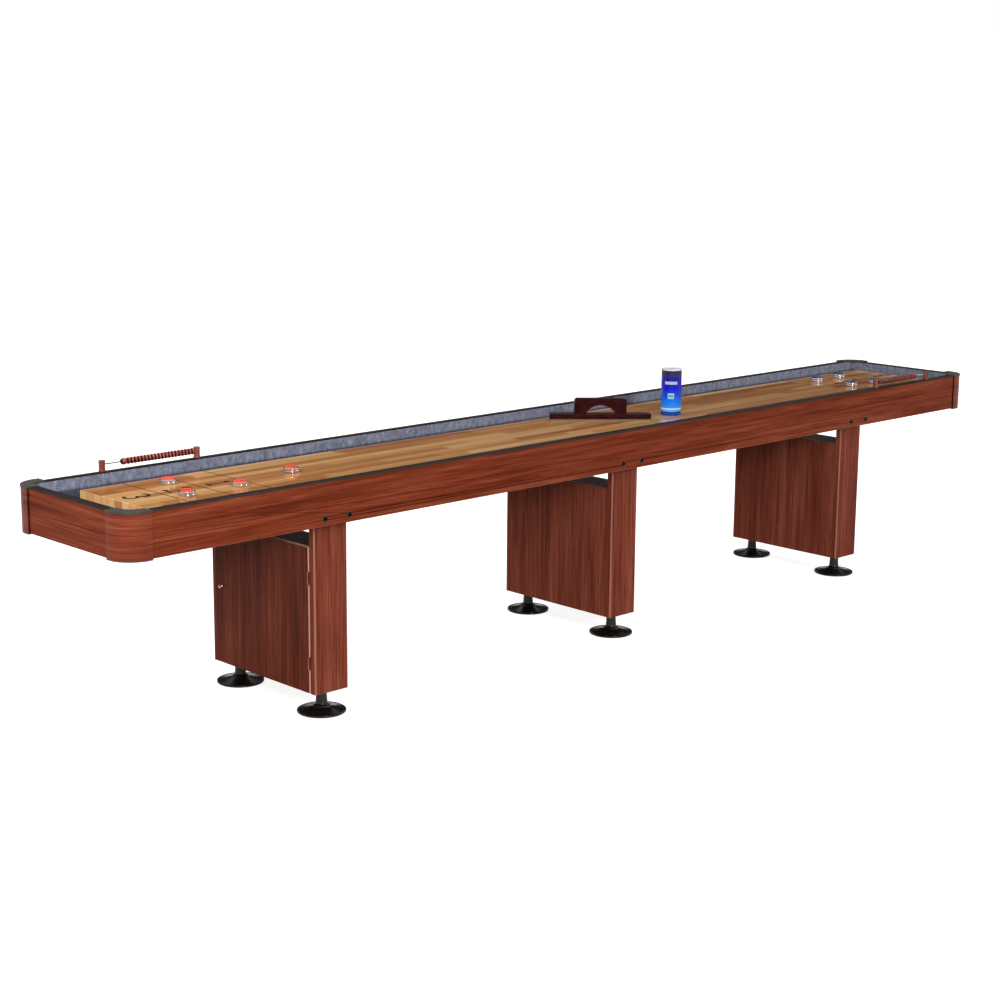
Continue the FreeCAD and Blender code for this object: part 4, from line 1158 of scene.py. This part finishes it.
def make_stage():
    """A plain white floor, which looks brighter than the light it throws back on the table."""
    pale = Finish("pale_floor", Roughness=0.9, Specular_IOR_Level=0.0)
    rays = pale.node("LightPath").outputs
    seen = rays["Is Camera Ray"]
    mirrored = pale.calc("MAXIMUM", seen, rays["Is Glossy Ray"])
    grit = pale.noise((60, 60, 60), 3.0, 0.5)
    paint_tone = pale.ramp(grit, shades((0.0, 240, 240, 240), (1.0, 248, 248, 248)))
    dim = (FLOOR_BOUNCE, FLOOR_BOUNCE, FLOOR_BOUNCE, 1.0)
    pale.colour(pale.mix(mirrored, dim, paint_tone))
    pale.surface.inputs["Emission Color"].default_value = rgb(255, 255, 255)
    pale.feed(pale.surface.inputs["Emission Strength"], pale.calc("MULTIPLY", seen, FLOOR_GLOW))
    floor = Shape().turned(spot((0, 0, 0)), [(0, 0), (FLOOR_RADIUS, 0)], 96)
    floor.made("floor", pale.material)


# The studio's light by height: the sine of the angle above the horizon, and how bright it is there.
STUDIO_LEVELS = [(0.0, 1.0), (0.08, 1.0), (0.12, 0.02), (0.45, 0.02), (0.62, 0.74), (1.0, 0.74)]


def make_world():
    """A white backdrop, which lights the table from its horizon and its ceiling and dimly between."""
    world = bpy.data.worlds.new("studio")
    bpy.context.scene.world = world
    world.use_nodes = True
    nodes = world.node_tree.nodes
    links = world.node_tree.links
    sky = nodes["Background"]
    direction = nodes.new("ShaderNodeTexCoord").outputs["Generated"]
    split = nodes.new("ShaderNodeSeparateXYZ")
    links.new(direction, split.inputs[0])
    ramp = nodes.new("ShaderNodeValToRGB")
    set_stops(ramp, [(sine, (level, level, level, 1.0)) for sine, level in STUDIO_LEVELS])
    links.new(split.outputs[2], ramp.inputs[0])
    backdrop = nodes.new("ShaderNodeMath")
    backdrop.operation = "MAXIMUM"
    links.new(ramp.outputs[0], backdrop.inputs[0])
    rays = nodes.new("ShaderNodeLightPath").outputs
    links.new(rays["Is Camera Ray"], backdrop.inputs[1])
    links.new(backdrop.outputs[0], sky.inputs[0])


# Each far lamp: its name, the way its light goes, its strength and how wide it looks in degrees.
FAR_LAMPS = [("slim_lamp", (0.35, 0.935, -0.38), 1.2, 9), ("right_lamp", (-0.8, 0.15, -0.57), 0.4, 20)]
# Each near lamp: its name, its place, the point that it faces, its power in watts and its side in metres.
NEAR_LAMPS = [("left_panel", (-5.5, -3.2, 2.8), (-1.6, 0, 0.5), 112, 1.8),
              ("end_panel", (-2.8, 0.2, 2.7), (-2.1, 0, 0.75), 26, 1.2)]


def add_lamp(name, kind, strength, towards, place=(0, 0, 0), mirrored=True):
    lamp = bpy.data.lights.new(name, kind)
    lamp.energy = strength
    holder = bpy.data.objects.new(name, lamp)
    bpy.context.scene.collection.objects.link(holder)
    holder.location = place
    holder.rotation_mode = "QUATERNION"
    holder.rotation_quaternion = Vector(towards).to_track_quat("-Z", "Y")
    holder.visible_camera = False
    holder.visible_glossy = mirrored
    return lamp


def make_lamps():
    """Far lamps that light everything alike, and near lamps for the table's left end."""
    for name, towards, strength, angle in FAR_LAMPS:
        add_lamp(name, "SUN", strength, towards).angle = math.radians(angle)
    for name, place, aim, power, side in NEAR_LAMPS:
        lamp = add_lamp(name, "AREA", power, Vector(aim) - Vector(place), place, mirrored=False)
        lamp.size = side


CAMERA_PLACE = Vector((-5.0571, -4.8627, 1.9503))
CAMERA_LENS = 69.45
SENSOR_WIDTH = 36
FAR_CLIP = 500
CAMERA_YAW = 43.986
CAMERA_PITCH = 11.973
CAMERA_ROLL = 0.471


def make_camera():
    """In front of the left end and above the rim, looking along the table and a little down."""
    lens = bpy.data.cameras.new("camera")
    lens.lens = CAMERA_LENS
    lens.sensor_width = SENSOR_WIDTH
    lens.clip_end = FAR_CLIP
    camera = bpy.data.objects.new("camera", lens)
    bpy.context.scene.collection.objects.link(camera)
    yaw, pitch, roll = (math.radians(angle) for angle in (CAMERA_YAW, CAMERA_PITCH, CAMERA_ROLL))
    forward = Vector((math.sin(yaw) * math.cos(pitch), math.cos(yaw) * math.cos(pitch), -math.sin(pitch)))
    level = Vector((math.cos(yaw), -math.sin(yaw), 0))
    upright = level.cross(forward)
    right = level * math.cos(roll) + upright * math.sin(roll)
    up = upright * math.cos(roll) - level * math.sin(roll)
    turn = Matrix((right, up, -forward)).transposed().to_4x4()
    camera.matrix_world = Matrix.Translation(CAMERA_PLACE) @ turn
    bpy.context.scene.camera = camera


# ---------------- the whole table
dress_cad_nodes()
make_corners()
make_rim_strips()
make_score_print()
make_bolts()
make_door_fittings()
make_catches()
make_levelers()
make_scorers()
make_pucks()
make_handle()
make_tufts()
make_can()
make_stage()
make_world()
make_lamps()
make_camera()
bpy.context.scene.view_settings.view_transform = "Standard"
